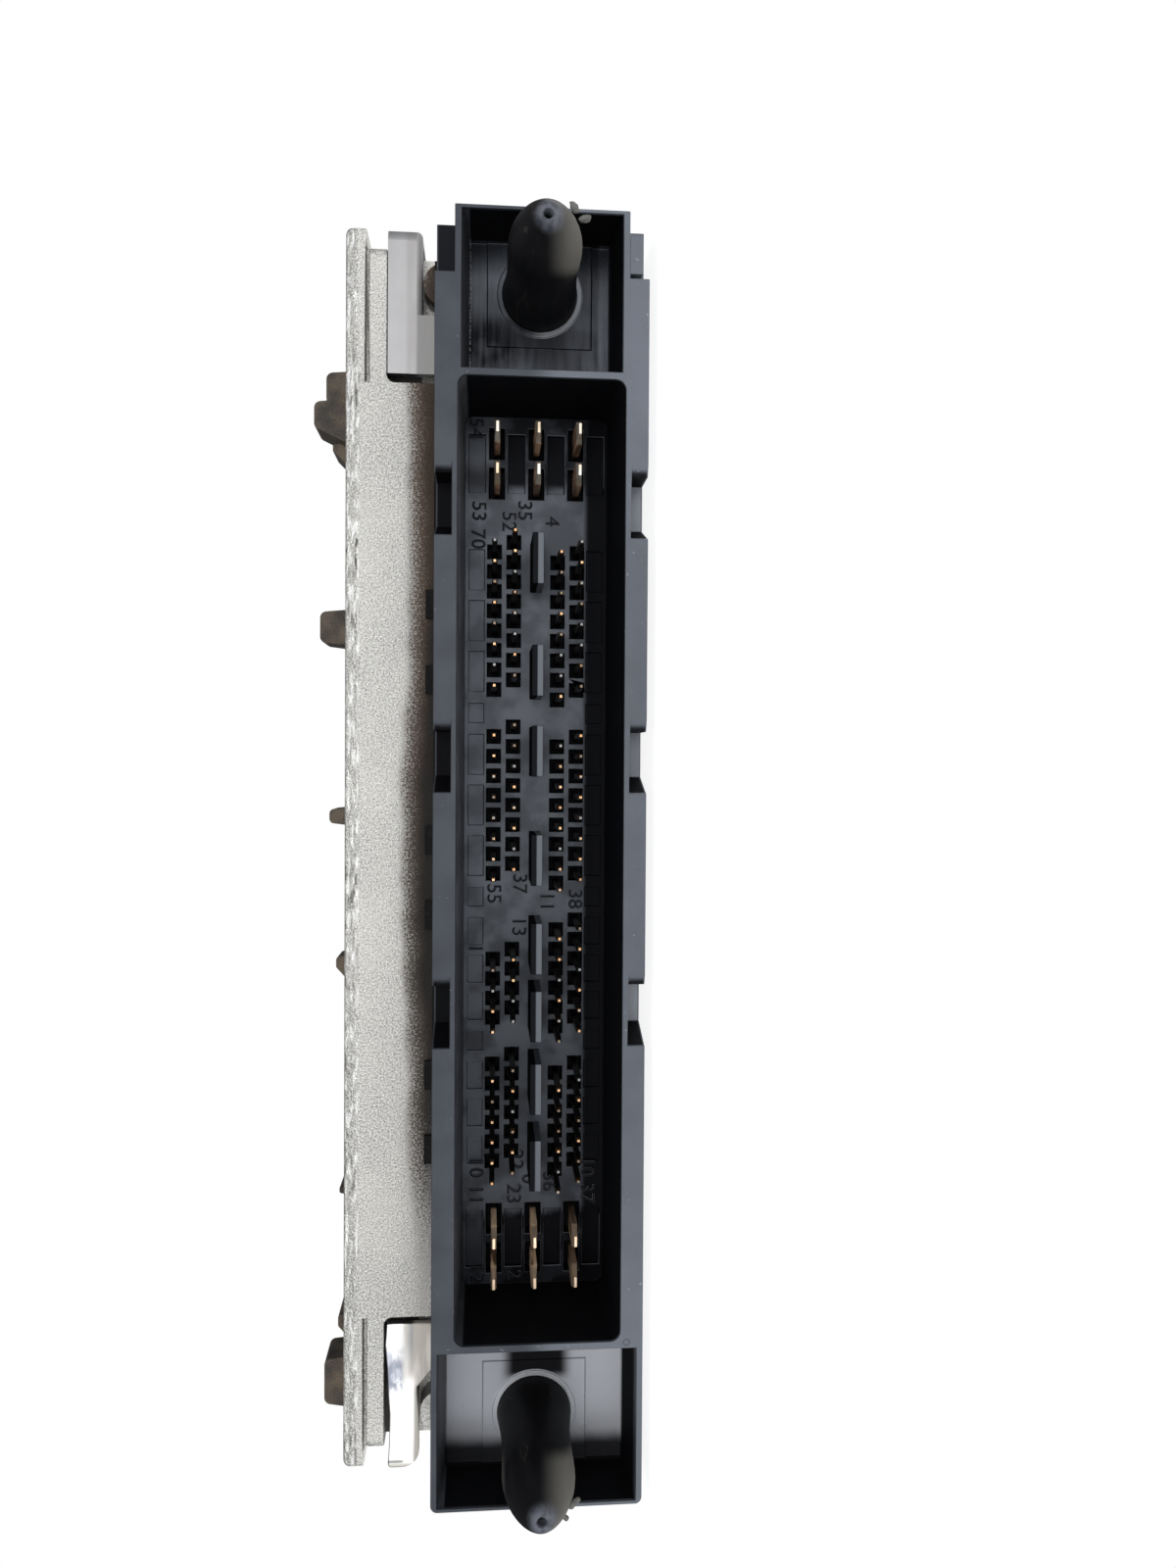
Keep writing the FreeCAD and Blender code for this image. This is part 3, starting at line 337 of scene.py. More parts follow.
def marked(finish, base, streaks, edge):
    """The marks on the lower bracket, painted reflection and painted shade among them, over the colour of the
    strip.
    """
    smear_and_light_noise = finish.noise(650, 4, stretch=(0.6, 1, 1.3)).rise(0.38, 0.52)
    # Painted reflection: a blue-grey patch on the face, with a ragged edge.
    reflected_patch = (finish.x + (smear_and_light_noise - 0.5) * 1.2).band(-68.4, -64.2, 1.0) * finish.z.rise(29.1, 30.1)
    blue = finish.blend(smear_and_light_noise, (0.30, 0.315, 0.36), (0.13, 0.145, 0.19))
    base = finish.blend(reflected_patch * 0.9, base, blue)
    cream = finish.z.fall(29.4, 29.9) * finish.x.rise(-69, -66) * streaks.rise(0.35, 0.55)
    base = finish.blend(cream * 0.8, base, (0.42, 0.385, 0.345))
    # Painted shade in the crease at the outer end; the rolled end beyond it is darker too.
    crease_shade = finish.x.band(-78.3, -77.9, 0.12) * finish.z.rise(29.3, 29.9)
    base = finish.blend(crease_shade * 0.85, base, (0.12, 0.12, 0.11))
    base = finish.blend(finish.x.fall(-78.5, -78.2) * 0.8, base, (0.26, 0.25, 0.22))
    beige = finish.blend(streaks.rise(0.4, 0.6), (0.58, 0.53, 0.48), (0.86, 0.82, 0.77))
    beige = finish.blend(finish.x.fall(-69.5, -67.5) * 0.8, beige, (0.22, 0.205, 0.17))
    return finish.blend(edge * 0.9, base, beige)


def bright_aluminium():
    finish = Finish("bright_aluminium")
    streaks = finish.noise(500, 3, stretch=(0.15, 1, 1))
    edge = (finish.z + (streaks - 0.5) * 0.3).fall(28.0, 28.6)
    dull = finish.x.rise(0, 1)
    base = finish.blend(streaks.rise(0.3, 0.7), (0.52, 0.52, 0.515), (0.74, 0.74, 0.735))
    base = marked(finish, base, streaks, edge)
    finish.feed("Base Color", finish.blend(dull * 0.85, base, (0.17, 0.17, 0.175)))
    finish.feed("Roughness", 0.24 + streaks * 0.2 + edge * 0.2 + dull * 0.1)
    finish.feed("Metallic", 1 - edge * 0.85)
    finish.bump(finish.noise(130, 2) + streaks * 0.1, 0.22, 0.4)
    return finish


keep(pressed_aluminium())
keep(bright_aluminium())

# %% [markdown]
# The header is one moulding of glass-filled plastic, so it gets one material, although its faces look
# very different: slate grey outside, black in its deep shroud, and mirror-like on the two pocket floors.
# Painting a texture for it would need an unwrapped surface. It is simpler to tell the faces apart by
# where they are, so this class works out one mask for each kind of face from the depth, the height and
# the distance along it. The web is the wall between the shroud and a pocket, and the flank is the
# header's outer side.

# %% Plug header: where its faces are
POCKET_DEPTH = 7.3
POCKET = FRONT - POCKET_DEPTH
NOTCH = FRONT - 11
WEB = 55.8
FLANK = 12.05


def layer(value, low, high, soft=0.01):
    """Mask of what lies between two levels, measured back from the front of the casting."""
    return value.band(FRONT + low, FRONT + high, soft)


class Header(Finish):
    def __init__(self):
        super().__init__("header_plastic", specular_ior_level=0.8, specular_tint=(0.84, 0.90, 1.0, 1))
        self.flow = self.noise(60, 3, stretch=(0.4, 1, 1))
        self.smear_and_light_noise = self.noise(240, 3)
        self.across = self.z - MIDDLE
        self.roof_side = self.across.rise(-2, 2)
        self.ends = self.x.size().rise(WEB - 0.2, WEB + 0.1)
        self.lower_half = self.x.fall(-1, 0)
        self.upper = self.x.rise(0, 1) * self.ends
        self.lower = self.lower_half * self.ends
        self.find_hollows(self.across.size())
        self.find_floor_details(self.across.size())

    def find_hollows(self, out):
        """Everything behind the rim, the rim's notches and the steps beside the narrow end."""
        self.inside = self.y.rise(RIM + 0.25, RIM + 0.6) * out.fall(11.3, 11.5)
        behind_rim = self.y.rise(RIM + 0.15, RIM + 0.4)
        self.notched = out.band(9.9, FLANK, 0.1) * behind_rim * (1 - self.ends)
        self.notch_floor = self.notched * (1 - self.roof_side) * self.y.rise(NOTCH - 0.4, NOTCH - 0.1)
        self.shoulder = out.band(9.6, FLANK, 0.1) * self.y.rise(RIM + 0.3, RIM + 0.6) * self.upper
        self.shroud = self.inside * (1 - self.ends) * (1 - self.notched)
        self.pocket = self.y.band(POCKET - 0.8, POCKET + 0.3, 0.15) * self.ends * self.inside
        self.pocket_walls = (self.inside * self.ends - self.pocket - self.shoulder).most(0)
        self.lit_wall = self.across.rise(8.2, 8.4) * self.upper + self.across.rise(10.5, 10.7) * self.lower
        seat = sum(self.gap(x, POCKET - 0.5, MIDDLE).band(4.4, 5.2, 0.05) for x in POST_X.values())
        self.lit_seat = seat * (self.upper * self.across.fall(-1, 2) + self.lower * self.x.rise(-68, -65))
        # A speckled painted highlight along the foot of the narrow pocket's wall on the roof side.
        foot = self.across.band(8.3, 8.95, 0.05) * self.upper * self.y.rise(POCKET - 1.6, POCKET - 1)
        self.speckled_foot_highlight = foot * self.noise(2600, 1).rise(0.45, 0.55)

    def find_floor_details(self, out):
        """The shroud's floor, what stands on it and what is sunk in it."""
        above = self.y.fall(FRONT - 0.3, FRONT - 0.1)
        self.rib = out.fall(0.8, 0.9) * above * self.x.size().fall(44, 45) * self.shroud
        self.floor = layer(self.y, -0.06, 0.9, 0.02) * self.shroud
        self.cells = self.y.rise(FRONT + 0.85, FRONT + 1.0) * self.shroud
        self.numbers = layer(self.y, -0.24, -0.06) * self.shroud * (1 - self.rib)
        self.figure_edge = layer(self.y, -0.19, -0.13) * self.numbers
        lit_part = self.x.size().rise(46.5, 47).most(self.across.rise(6.3, 6.5))
        self.brink = layer(self.y, 0.015, 0.075) * self.shroud * lit_part
        self.walls = (self.shroud - self.floor - self.cells - self.rib - self.numbers).most(0)
        self.left_wall = self.walls * self.across.rise(8.4, 8.8)


header = Header()
print("header masks", len(header.tree.nodes), "nodes")


# %% [markdown]
# The colours come first. The plastic is slate grey with slow clouds from its flow into the mould. Behind the
# rim and in the notches it is painted near black as shade, with its floors a dark slate. Painted light makes
# the edges that catch the light paler, and the ring round each post, the lit walls, the notch floors and the
# side of each rib away from the roof; a painted reflection of the window makes the polished floor of the wide
# pocket pale. Specks of dust and nicks on the web between shroud and pocket are paler too, and a speckled
# painted highlight runs along the foot of one pocket wall.


# %% Plug header: colours
def header_colour(header):
    base = header.blend(header.flow.rise(0.3, 0.7), (0.056, 0.064, 0.078), (0.074, 0.084, 0.101))
    # Painted shade: near black behind the rim and in the notches.
    hollow_shade = (header.inside - header.shoulder).most(header.notched)
    base = header.blend(hollow_shade * 0.85, base, (0.004, 0.0045, 0.006))
    base = header.blend((header.floor + header.pocket).least(1) * 0.8, base, (0.020, 0.024, 0.032))
    # Painted reflection of the window on the wide pocket's polished floor.
    pocket_reflection = header.pocket * header.lower * (0.85 - header.across.rise(-9, 9) * 0.25)
    base = header.blend(pocket_reflection, base, (0.37, 0.38, 0.405))
    # Painted light on the side of each rib away from the roof.
    base = header.blend(header.rib * header.across.fall(-0.1, 0.05), base, (0.030, 0.033, 0.040))
    base = header.blend(specks_nicks_and_highlight(header), base, (0.34, 0.35, 0.37))
    gate = header.gap(-55.5, RIM, 2.9).band(0.25, 0.45, 0.05)
    return lit_faces(header, header.blend(gate * 0.8, base, (0.006, 0.006, 0.007)))


def specks_nicks_and_highlight(header):
    dust = header.noise(2000, 1).rise(0.735, 0.76) * (1 - header.inside)
    web = header.x.size().band(WEB - 0.5, WEB + 0.5, 0.1) * header.y.fall(RIM + 0.1, RIM + 0.2)
    nicks = web * header.lower_half * header.noise(2600, 1, stretch=(1, 1, 0.5)).rise(0.70, 0.73)
    # Dust and nicks, with the painted highlight along the foot of one pocket wall.
    return (dust * 0.6 + nicks * 0.7 + header.speckled_foot_highlight).least(1)


def lit_faces(header, base):
    """Painted light on the walls, rings, edges and notch floors that catch the light."""
    patchy_light = header.smear_and_light_noise.rise(0.4, 0.6) * 0.5
    pale = header.blend(header.x.rise(-25, 10), (0.065, 0.071, 0.084), (0.118, 0.126, 0.143))
    base = header.blend(header.left_wall * (0.35 + patchy_light), base, pale)
    base = header.blend(header.pocket_walls * header.lit_wall * (0.5 + patchy_light), base, (0.070, 0.074, 0.085))
    rings = header.lit_seat * header.pocket * (0.5 + header.lower * 0.4)
    base = header.blend(rings, base, (0.38, 0.39, 0.41))
    base = header.blend((header.brink * 0.6 + header.figure_edge).least(1), base, (0.13, 0.137, 0.15))
    clouds = header.flow.rise(0.4, 0.6) * 0.5
    return header.blend(header.notch_floor * (0.5 + clouds), base, (0.22, 0.235, 0.26))


header.feed("Base Color", header_colour(header))
print("header colours", len(header.tree.nodes), "nodes")


# %% [markdown]
# Gloss alone would light up the whole inside of the shroud, because the bright room is mirrored everywhere in
# it. On the real part most of what a face mirrors is another black wall. That gloom is painted shade: a
# second shader here, a plain black one, and a mask says how much of each face it takes. The shroud's floor is
# gloomiest between the blades and along the wall away from the roof, and it is broken up by smears; a painted
# highlight lightens one blade recess. The cells, the numbers, the walls of the recesses and the roof side of
# each rib are painted dark as well, and the edges of the numbers and the lit brink of the floor less so.


# %% Plug header: gloom in the shroud
def floor_gloom(header):
    across = header.across
    wall_side = across.fall(-6.8, -5.6)
    blade_field = header.x.size().rise(46.0, 47.4)
    # Painted highlight in one blade recess.
    blade_recess_highlight = header.near((51.5, FRONT, 20.8), 1.2, 2.4) * 0.5
    recess_walls = layer(header.y, 0.1, 0.3, 0.02)
    sunk_in_shade = header.y.rise(FRONT + 0.4, FRONT + 0.5) * blade_field * across.fall(4.5, 5.5)
    gloom = 0.37 + header.smear_and_light_noise.rise(0.4, 0.62) * 0.32 + blade_field * (0.45 - across.rise(4.5, 5.5) * 0.2)
    gloom = gloom - blade_recess_highlight - header.x.rise(-25, 10) * 0.24 + recess_walls * 0.5
    return header.floor * gloom.most(wall_side * 0.97).most(sunk_in_shade * 0.95).least(0.97)


def shroud_gloom(header):
    gloom = floor_gloom(header) * (1 - header.brink * 0.8)
    gloom = gloom + header.cells * 0.97 + header.numbers * 0.92 - header.figure_edge * 0.75
    gloom = gloom + header.walls * (0.90 - header.across.rise(8.4, 8.8) * 0.87)
    # Painted shade on the roof side of each rib.
    return gloom + header.rib * header.across.rise(-0.05, 0.1) * 0.94


# %% [markdown]
# The wide pocket's floor gets a painted reflection of its own post as a dark stripe and painted shade in its
# far corner. The narrow pocket's floor is duller: streaks of painted sheen, a painted glint at its outer end
# and a painted shaded patch next to the shroud. The outer faces get a little painted shade as well, more on
# the side of the roof, which looks away from the window, and some along the middle of the other side; the
# notches and the steps beside the narrow end on the roof side are painted near black, and the notch floors
# are left light.


# %% Plug header: gloom in the pockets and outside
def pocket_gloom(header):
    across = header.across
    post_image = (across + 0.3).size().fall(2.8, 4.6) * header.x.rise(-64.5, -63.0) * header.lower
    far_corner = (header.x + (header.smear_and_light_noise - 0.5) * 0.8).fall(-72.6, -70.4)
    wide = (post_image * 0.98).most(far_corner * 0.95)
    glint = header.near((71.6, POCKET, 18.0), 1.2, 3.2) * 0.2
    shade = header.near((62.0, POCKET, 19.4), 1.5, 4.5) * 0.4
    # Streaks of painted sheen on the narrow pocket's floor.
    streaky_sheen = (header.noise(1800, 2, stretch=(0.08, 1, 1)) - 0.5) * 0.45
    sheen = streaky_sheen + across.rise(-2, 4) * 0.16 + across.fall(-7.4, -6.9) * 0.30
    narrow = (0.72 + shade - glint - sheen - header.smear_and_light_noise.rise(0.5, 0.7) * 0.12).least(0.96)
    return header.pocket * (narrow * header.upper + wide * header.lower) * (1 - header.lit_seat * 0.8)


def outer_gloom(header):
    outside = (1 - header.inside - header.notched - header.shoulder).most(0)
    # Painted shade along the middle of the side away from the roof.
    middle = header.x.size().fall(25, 60) * (1 - header.roof_side)
    gloom = outside * (header.roof_side * 0.56 + middle * 0.22 + (header.smear_and_light_noise - 0.5) * 0.25)
    gloom = gloom + header.notched * (0.92 + header.roof_side * 0.05) - header.notch_floor * 0.85
    return gloom + header.shoulder * header.roof_side * 0.93


gloom = shroud_gloom(header) + pocket_gloom(header) + outer_gloom(header)
# Painted shade on the pocket walls, except the lit ones, and none on the painted highlight at the foot of one
# wall.
gloom = (gloom + header.pocket_walls * (0.92 - header.lit_wall * 0.72)) * (1 - header.speckled_foot_highlight * header.upper)
black = header.node("ShaderNodeBsdfDiffuse", {}, {"Color": (0.004, 0.004, 0.005, 1)})
header.cover_with(gloom.least(0.98).most(0), black)

# %% [markdown]
# Last comes the touch of it. The outer faces come from an etched mould and are finely grained, the inner
# ones are smoother, and the pocket floors are polished, with smears that bend the reflections a little.

# %% Plug header: roughness and grain
grain = header.noise(3500, 2)
rough = (0.46 + grain * 0.1) * (1 - header.inside) + (0.42 + header.flow * 0.1) * header.inside
rough = rough * (1 - header.pocket) + (0.24 + header.smear_and_light_noise * 0.1) * header.pocket
header.feed("Roughness", rough)
relief = grain * (1 - header.inside) + header.flow * 0.15 + header.smear_and_light_noise * header.pocket * 0.5
header.bump(relief, 0.12, 0.06)
keep(header)

# %% [markdown]
# The guide posts are a darker plastic. Their noses were ground by many plugs: a worn grey ring round the hole
# at the tip and torn burrs that broke out pale. Painted light makes each nose pale olive on the side away
# from the roof, up to a slanting edge of painted shadow from the rim of its pocket, and a weaker band of
# painted light lies on the roof side of the lower nose. The seal is matt rubber with a trace of dust.

# %% Guide post plastic and rubber
TIP = cad_low.y / MM
BURRS = {"upper": ((70.6, -95.0, 10.3), (69.8, -94.2, 9.1)),
         "lower": ((-69.9, -95.0, 10.7), (-69.2, -94.2, 9.5))}


def worn_nose(finish, base, side):
    worn = finish.noise(900, 2)
    ring = finish.near((POST_X[side], TIP, MIDDLE - 0.3), 0.8, 1.5) * (0.4 + worn.rise(0.30, 0.60) * 0.6)
    base = finish.blend(ring * 0.75, base, (0.17, 0.18, 0.215))
    for burr in BURRS[side]:
        torn = finish.near(burr, 0.45, 0.5) * (0.5 + worn.rise(0.4, 0.6) * 0.5)
        base = finish.blend(torn, base, (0.17, 0.17, 0.165))
    return base


def post_plastic():
    finish = Finish("post_plastic", specular_ior_level=0.07)
    drag = finish.noise(500, 3, stretch=(1, 0.15, 1))
    across = finish.z - MIDDLE
    base = finish.blend(drag.rise(0.35, 0.7), (0.004, 0.004, 0.005), (0.008, 0.008, 0.009))
    # Painted light on the nose, up to a slanting edge of painted shadow from the rim of the pocket.
    reach = FRONT - finish.y + (finish.x.size() - 64) * 2 + (drag - 0.5)
    weaker_lit_band = across.rise(3.6, 4.1) * finish.x.fall(-1, 0) * 0.3
    lit_nose_side = reach.rise(22.0, 25.8) * (across.fall(-3.4, 0.2) + weaker_lit_band).least(1)
    base = finish.blend(lit_nose_side * 0.85, base, (0.205, 0.198, 0.178))
    for side in POST_X:
        base = worn_nose(finish, base, side)
    scratch = finish.cell_edges(330, stretch=(1, 0.3, 1)).fall(0.01, 0.02) * drag.rise(0.55, 0.62)
    finish.feed("Base Color", finish.blend(scratch * 0.15, base, (0.12, 0.11, 0.09)))
    finish.feed("Roughness", 0.42 + drag * 0.12 + lit_nose_side * 0.2)
    finish.bump(finish.noise(3000, 2) + drag * 0.6, 0.10, 0.06)
    return finish


def seal_rubber():
    finish = Finish("seal_rubber", specular_ior_level=0.12)
    dust = finish.noise(1800, 2)
    pale = dust.rise(0.55, 0.75) * 0.3
    finish.feed("Base Color", finish.blend(pale, (0.004, 0.004, 0.004), (0.03, 0.03, 0.03)))
    finish.feed("Roughness", 0.62 + dust * 0.2)
    finish.bump(dust, 0.2, 0.05)
    return finish


keep(post_plastic())
keep(seal_rubber())

# %% [markdown]
# The contacts are brass wire and strip. The signal pins are gilt, but not alike: a noise coarser than a pin
# makes some gold, some silvery and some dull, and below their tips they are painted dark, as shade in their
# cells. The blades are tinned with warm brass showing through, and their tips are bright; where they sink
# below the floor they are painted dark as shade, and the brass of the third row, furthest from the roof, is
# painted darker as shade.

# %% Contacts
PIN_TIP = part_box("signal_pins_a")[0].y / MM
BLADE_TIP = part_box("power_blades_upper")[0].y / MM


def gilt_brass():
    finish = Finish("gilt_brass", metallic=1.0)
    wander = finish.noise(500, 2)
    each = finish.noise(330, 0)
    gold = finish.blend(wander.rise(0.3, 0.7), (0.34, 0.18, 0.085), (0.50, 0.33, 0.19))
    gold = finish.blend(each.rise(0.58, 0.62), gold, (0.15, 0.15, 0.148))
    gold = finish.blend(each.fall(0.39, 0.43) * 0.85, gold, (0.08, 0.07, 0.06))
    # Painted shade: below its tip each pin is dark.
    tip = finish.y.fall(PIN_TIP + 0.35, PIN_TIP + 0.9)
    finish.feed("Base Color", finish.blend(tip, (0.030, 0.024, 0.018), gold))
    finish.feed("Roughness", 0.36 + wander * 0.14)
    finish.bump(wander, 0.1, 0.05)
    return finish


def tinned_brass():
    finish = Finish("tinned_brass")
    drawn = finish.noise(1200, 2, stretch=(1, 0.1, 1))
    patches = finish.noise(420, 2)
    lower = finish.x.fall(-1, 0)
    # Painted shade on the third row of blades.
    shaded_third_row = (finish.z - MIDDLE).fall(-3, -2)
    tip = (finish.y + (patches - 0.5) * 0.8).fall(BLADE_TIP + 1.6, BLADE_TIP + 2.4)
    tin = finish.blend(patches.rise(0.35, 0.65), (0.58, 0.47, 0.34), (0.74, 0.70, 0.63))
    tin = finish.blend(lower * 0.8, tin, (0.72, 0.54, 0.38))
    brass = finish.blend(drawn.rise(0.3, 0.7), (0.38, 0.21, 0.12), (0.60, 0.37, 0.23))
    brass = finish.blend(drawn.fall(0.42, 0.52) * 0.7, brass, (0.06, 0.035, 0.02))
    brass = finish.blend(lower * drawn.rise(0.38, 0.54), brass, (0.90, 0.64, 0.42))
    brass = finish.blend(shaded_third_row * (0.3 + lower * 0.4), brass, (0.06, 0.035, 0.02))
    # Painted shade where the blades sink below the floor.
    sunk_in_shade = finish.y.rise(FRONT - 0.6, FRONT + 0.4)
    finish.feed("Base Color", finish.blend(sunk_in_shade, finish.blend(tip, brass, tin), (0.02, 0.014, 0.010)))
    finish.feed("Roughness", 0.42 + drawn * 0.2)
    finish.feed("Metallic", 0.25 + tip * 0.65)
    finish.bump(drawn, 0.15, 0.04)
    return finish


keep(gilt_brass())
keep(tinned_brass())


# %% [markdown]
# What the closed housing hides gets its real finish too: the zinc-plated screws, the solder-resist green
# of the board, moulded chips, sleeved capacitors, the crystal's bright can, the ferrite choke and the
# heat pad. Most of them are plain, so one function serves them all with two tones and a roughness.


# %% Screws, board and what stands on it
def mottled(name, dark, light, rough, scale=600, metallic=0.0, height=0.15):
    """A quiet finish whose colour and gloss wander between two tones."""
    finish = Finish(name, metallic=metallic)
    mottle = finish.noise(scale, 3)
    finish.feed("Base Color", finish.blend(mottle.rise(0.3, 0.7), dark, light))
    finish.feed("Roughness", rough + mottle * 0.15)
    finish.bump(mottle, height, 0.05)
    return finish


def board_laminate():
    finish = Finish("board_laminate", coat_weight=0.3)
    weave = finish.node("ShaderNodeTexWave", {"bands_direction": "X"}, {"Vector": finish.place, "Scale": 420})
    lines = finish.cell_edges(260, stretch=(1, 1, 0.01)).fall(0.03, 0.06)
    base = finish.blend(weave * 0.3, (0.010, 0.075, 0.035), (0.014, 0.10, 0.05))
    finish.feed("Base Color", finish.blend(lines * 0.5, base, (0.03, 0.19, 0.09)))
    finish.feed("Roughness", 0.32 + weave * 0.08)
    finish.bump(lines, 0.3, 0.04)
    return finish


keep(board_laminate())
keep(mottled("zinc_steel", (0.50, 0.50, 0.48), (0.68, 0.68, 0.65), 0.25, metallic=0.95))
keep(mottled("chip_moulding", (0.014, 0.014, 0.015), (0.026, 0.026, 0.027), 0.5, 1500))
keep(mottled("capacitor_can", (0.50, 0.50, 0.51), (0.62, 0.62, 0.63), 0.25, metallic=0.9))
keep(mottled("crystal_can", (0.66, 0.66, 0.67), (0.76, 0.76, 0.77), 0.12, metallic=1.0))
keep(mottled("ferrite", (0.030, 0.030, 0.032), (0.055, 0.055, 0.058), 0.6, 1200, height=0.4))
keep(mottled("heat_pad", (0.30, 0.33, 0.38), (0.40, 0.43, 0.48), 0.65, 900, height=0.4))

# %% [markdown]
# The record says which material slot each node of the frame belongs to, and each finish is named after
# its slot. So one loop dresses all the solid pieces.

# %% Finishes on the frame's pieces
slot_of = {part["node"]: part["material_slot"] for part in frame["record"]["subparts"]}
for name, node in nodes.items():
    node.data.materials.clear()
    node.data.materials.append(finishes[slot_of[name]].material)
print("finishes", len(finishes), "on", len(nodes), "nodes")


# %% [markdown]
# The new pieces are made with the tools of Blender's edit mode: one piece is selected and active, an
# operator shapes it, and its modifiers are applied. Every piece ends the same way. Its place goes into
# its mesh, so that the object itself sits at the origin and its patterns stay in register with the unit,
# and it rides on the unit's one body.


# %% Helpers for modelling
def deselect():
    bpy.ops.object.select_all(action="DESELECT")


def only(piece):
    """Makes the piece the one selected and active object."""
    deselect()
    piece.select_set(True)
    bpy.context.view_layer.objects.active = piece


def apply(piece, kind, **settings):
    modifier = piece.modifiers.new(kind.lower(), kind)
    for name, value in settings.items():
        setattr(modifier, name, value)
    only(piece)
    bpy.ops.object.modifier_apply(modifier=modifier.name)


def join(pieces):
    """Joins the pieces into the first one."""
    only(pieces[0])
    for piece in pieces:
        piece.select_set(True)
    bpy.ops.object.join()


def smooth(piece, angle):
    """Smooth shading, except at edges sharper than the angle in degrees."""
    only(piece)
    bpy.ops.object.shade_smooth_by_angle(angle=math.radians(angle))


def finish_piece(piece, name, slot, *replaced):
    only(piece)
    bpy.ops.object.transform_apply(location=True, rotation=True, scale=True)
    piece.name = name
    piece.data.name = name
    piece.data.materials.clear()
    piece.data.materials.append(finishes[slot].material)
    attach(piece, "root")
    if replaced:
        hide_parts(*replaced)
    print(name, len(piece.data.polygons), "faces")


# %% [markdown]
# No moulding or casting has a knife edge. The header and the housing keep the shape of their solids, so a
# copy of each is the best start. Its doubled corners are merged and its flat triangles dissolved, a
# narrow bevel rounds the sharp edges so that they catch the light as real ones do, and Weighted Normal
# keeps the large faces flat beside it. The frame's own object stays as it is and is hidden behind the
# copy.


# %% Rounded edges
def softened(node, width):
    """A copy of a node without the frame's labels, its edges rounded to a width in millimetres."""
    piece = nodes[node].copy()
    piece.data = nodes[node].data.copy()
    bpy.context.scene.collection.objects.link(piece)
    piece.parent = None
    for label in list(piece.keys()):
        del piece[label]
    only(piece)
    bpy.ops.object.mode_set(mode="EDIT")
    bpy.ops.mesh.select_all(action="SELECT")
    bpy.ops.mesh.remove_doubles(threshold=0.002 * MM)
    bpy.ops.mesh.dissolve_limited(angle_limit=math.radians(0.5))
    bpy.ops.object.mode_set(mode="OBJECT")
    apply(piece, "BEVEL", width=width * MM, segments=2, limit_method="ANGLE", angle_limit=math.radians(35),
          use_clamp_overlap=False, harden_normals=False)
    smooth(piece, 30)
    apply(piece, "WEIGHTED_NORMAL", keep_sharp=True)
    return piece


finish_piece(softened("plug_header", 0.09), "header_moulding", "header_plastic", "plug_header")
finish_piece(softened("cast_housing", 0.15), "casting_skin", "cast_aluminium", "cast_housing")

# %% [markdown]
# A guide post is round, so one ring is enough to model it. A filled circle starts at its foot, and its
# face is extruded and resized from row to row, up the flared foot and the shank, over the nose and down
# into the small hole at the tip, where the last face is left as the bottom of the hole. Each row is a
# radius and a height in front of the casting. The nose is an arc that starts along the shank.

# %% Guide posts: the rows
FOOT_AND_SHANK = ((3.0, 2.3), (3.0, POCKET_DEPTH), (4.43, POCKET_DEPTH), (4.45, 8.2), (4.3, 9.8),
                  (4.18, 11.2), (4.08, 12.6), (4.04, 14.0), (4.04, 17.0), (4.1, 20.4))
NOSE_LENGTH = 8.6
NOSE_NARROWING = 3.0
NOSE_STEPS = (1, 2, 3, 4, 5, 6, 6.8, 7.5, 8.1, 8.4)
HOLE = ((1.0, 28.95), (0.8, 29.0), (0.58, 28.95), (0.5, 28.8), (0.5, 20.0))


def nose_row(step):
    """The row of the nose that lies a step beyond the shank."""
    shank, shoulder = FOOT_AND_SHANK[-1]
    arc = (NOSE_NARROWING ** 2 + NOSE_LENGTH ** 2) / (2 * NOSE_NARROWING)
    return shank - arc + math.sqrt(arc ** 2 - step ** 2), shoulder + step


POST_ROWS = (*FOOT_AND_SHANK, *(nose_row(step) for step in NOSE_STEPS), *HOLE)
print("post rows", len(POST_ROWS))


# %% Guide posts: turning and burrs
BURR_SIZE = 0.5
BURR_TEAR = 0.55
BURR_TURNS = (0.9, -0.5)


def outward():
    """In edit mode, turns all faces of the mesh outwards."""
    bpy.ops.mesh.select_all(action="SELECT")
    bpy.ops.mesh.normals_make_consistent(inside=False)


def turned_post(x):
    radius, height = POST_ROWS[0]
    deselect()
    foot = metres(x, FRONT - height, MIDDLE)
    bpy.ops.mesh.primitive_circle_add(vertices=64, radius=radius * MM, fill_type="NGON", location=foot,
                                      rotation=(math.pi / 2, 0, 0))
    bpy.ops.object.mode_set(mode="EDIT")
    bpy.ops.mesh.select_mode(type="FACE")
    bpy.ops.mesh.select_all(action="SELECT")
    for next_radius, next_height in POST_ROWS[1:]:
        step = {"value": metres(0, height - next_height, 0)}
        bpy.ops.mesh.extrude_region_move(TRANSFORM_OT_translate=step)
        share = next_radius / radius
        centre = metres(x, FRONT - next_height, MIDDLE)
        bpy.ops.transform.resize(value=(share, 1, share), center_override=centre)
        radius, height = next_radius, next_height
    outward()
    bpy.ops.object.mode_set(mode="OBJECT")
    return bpy.context.active_object


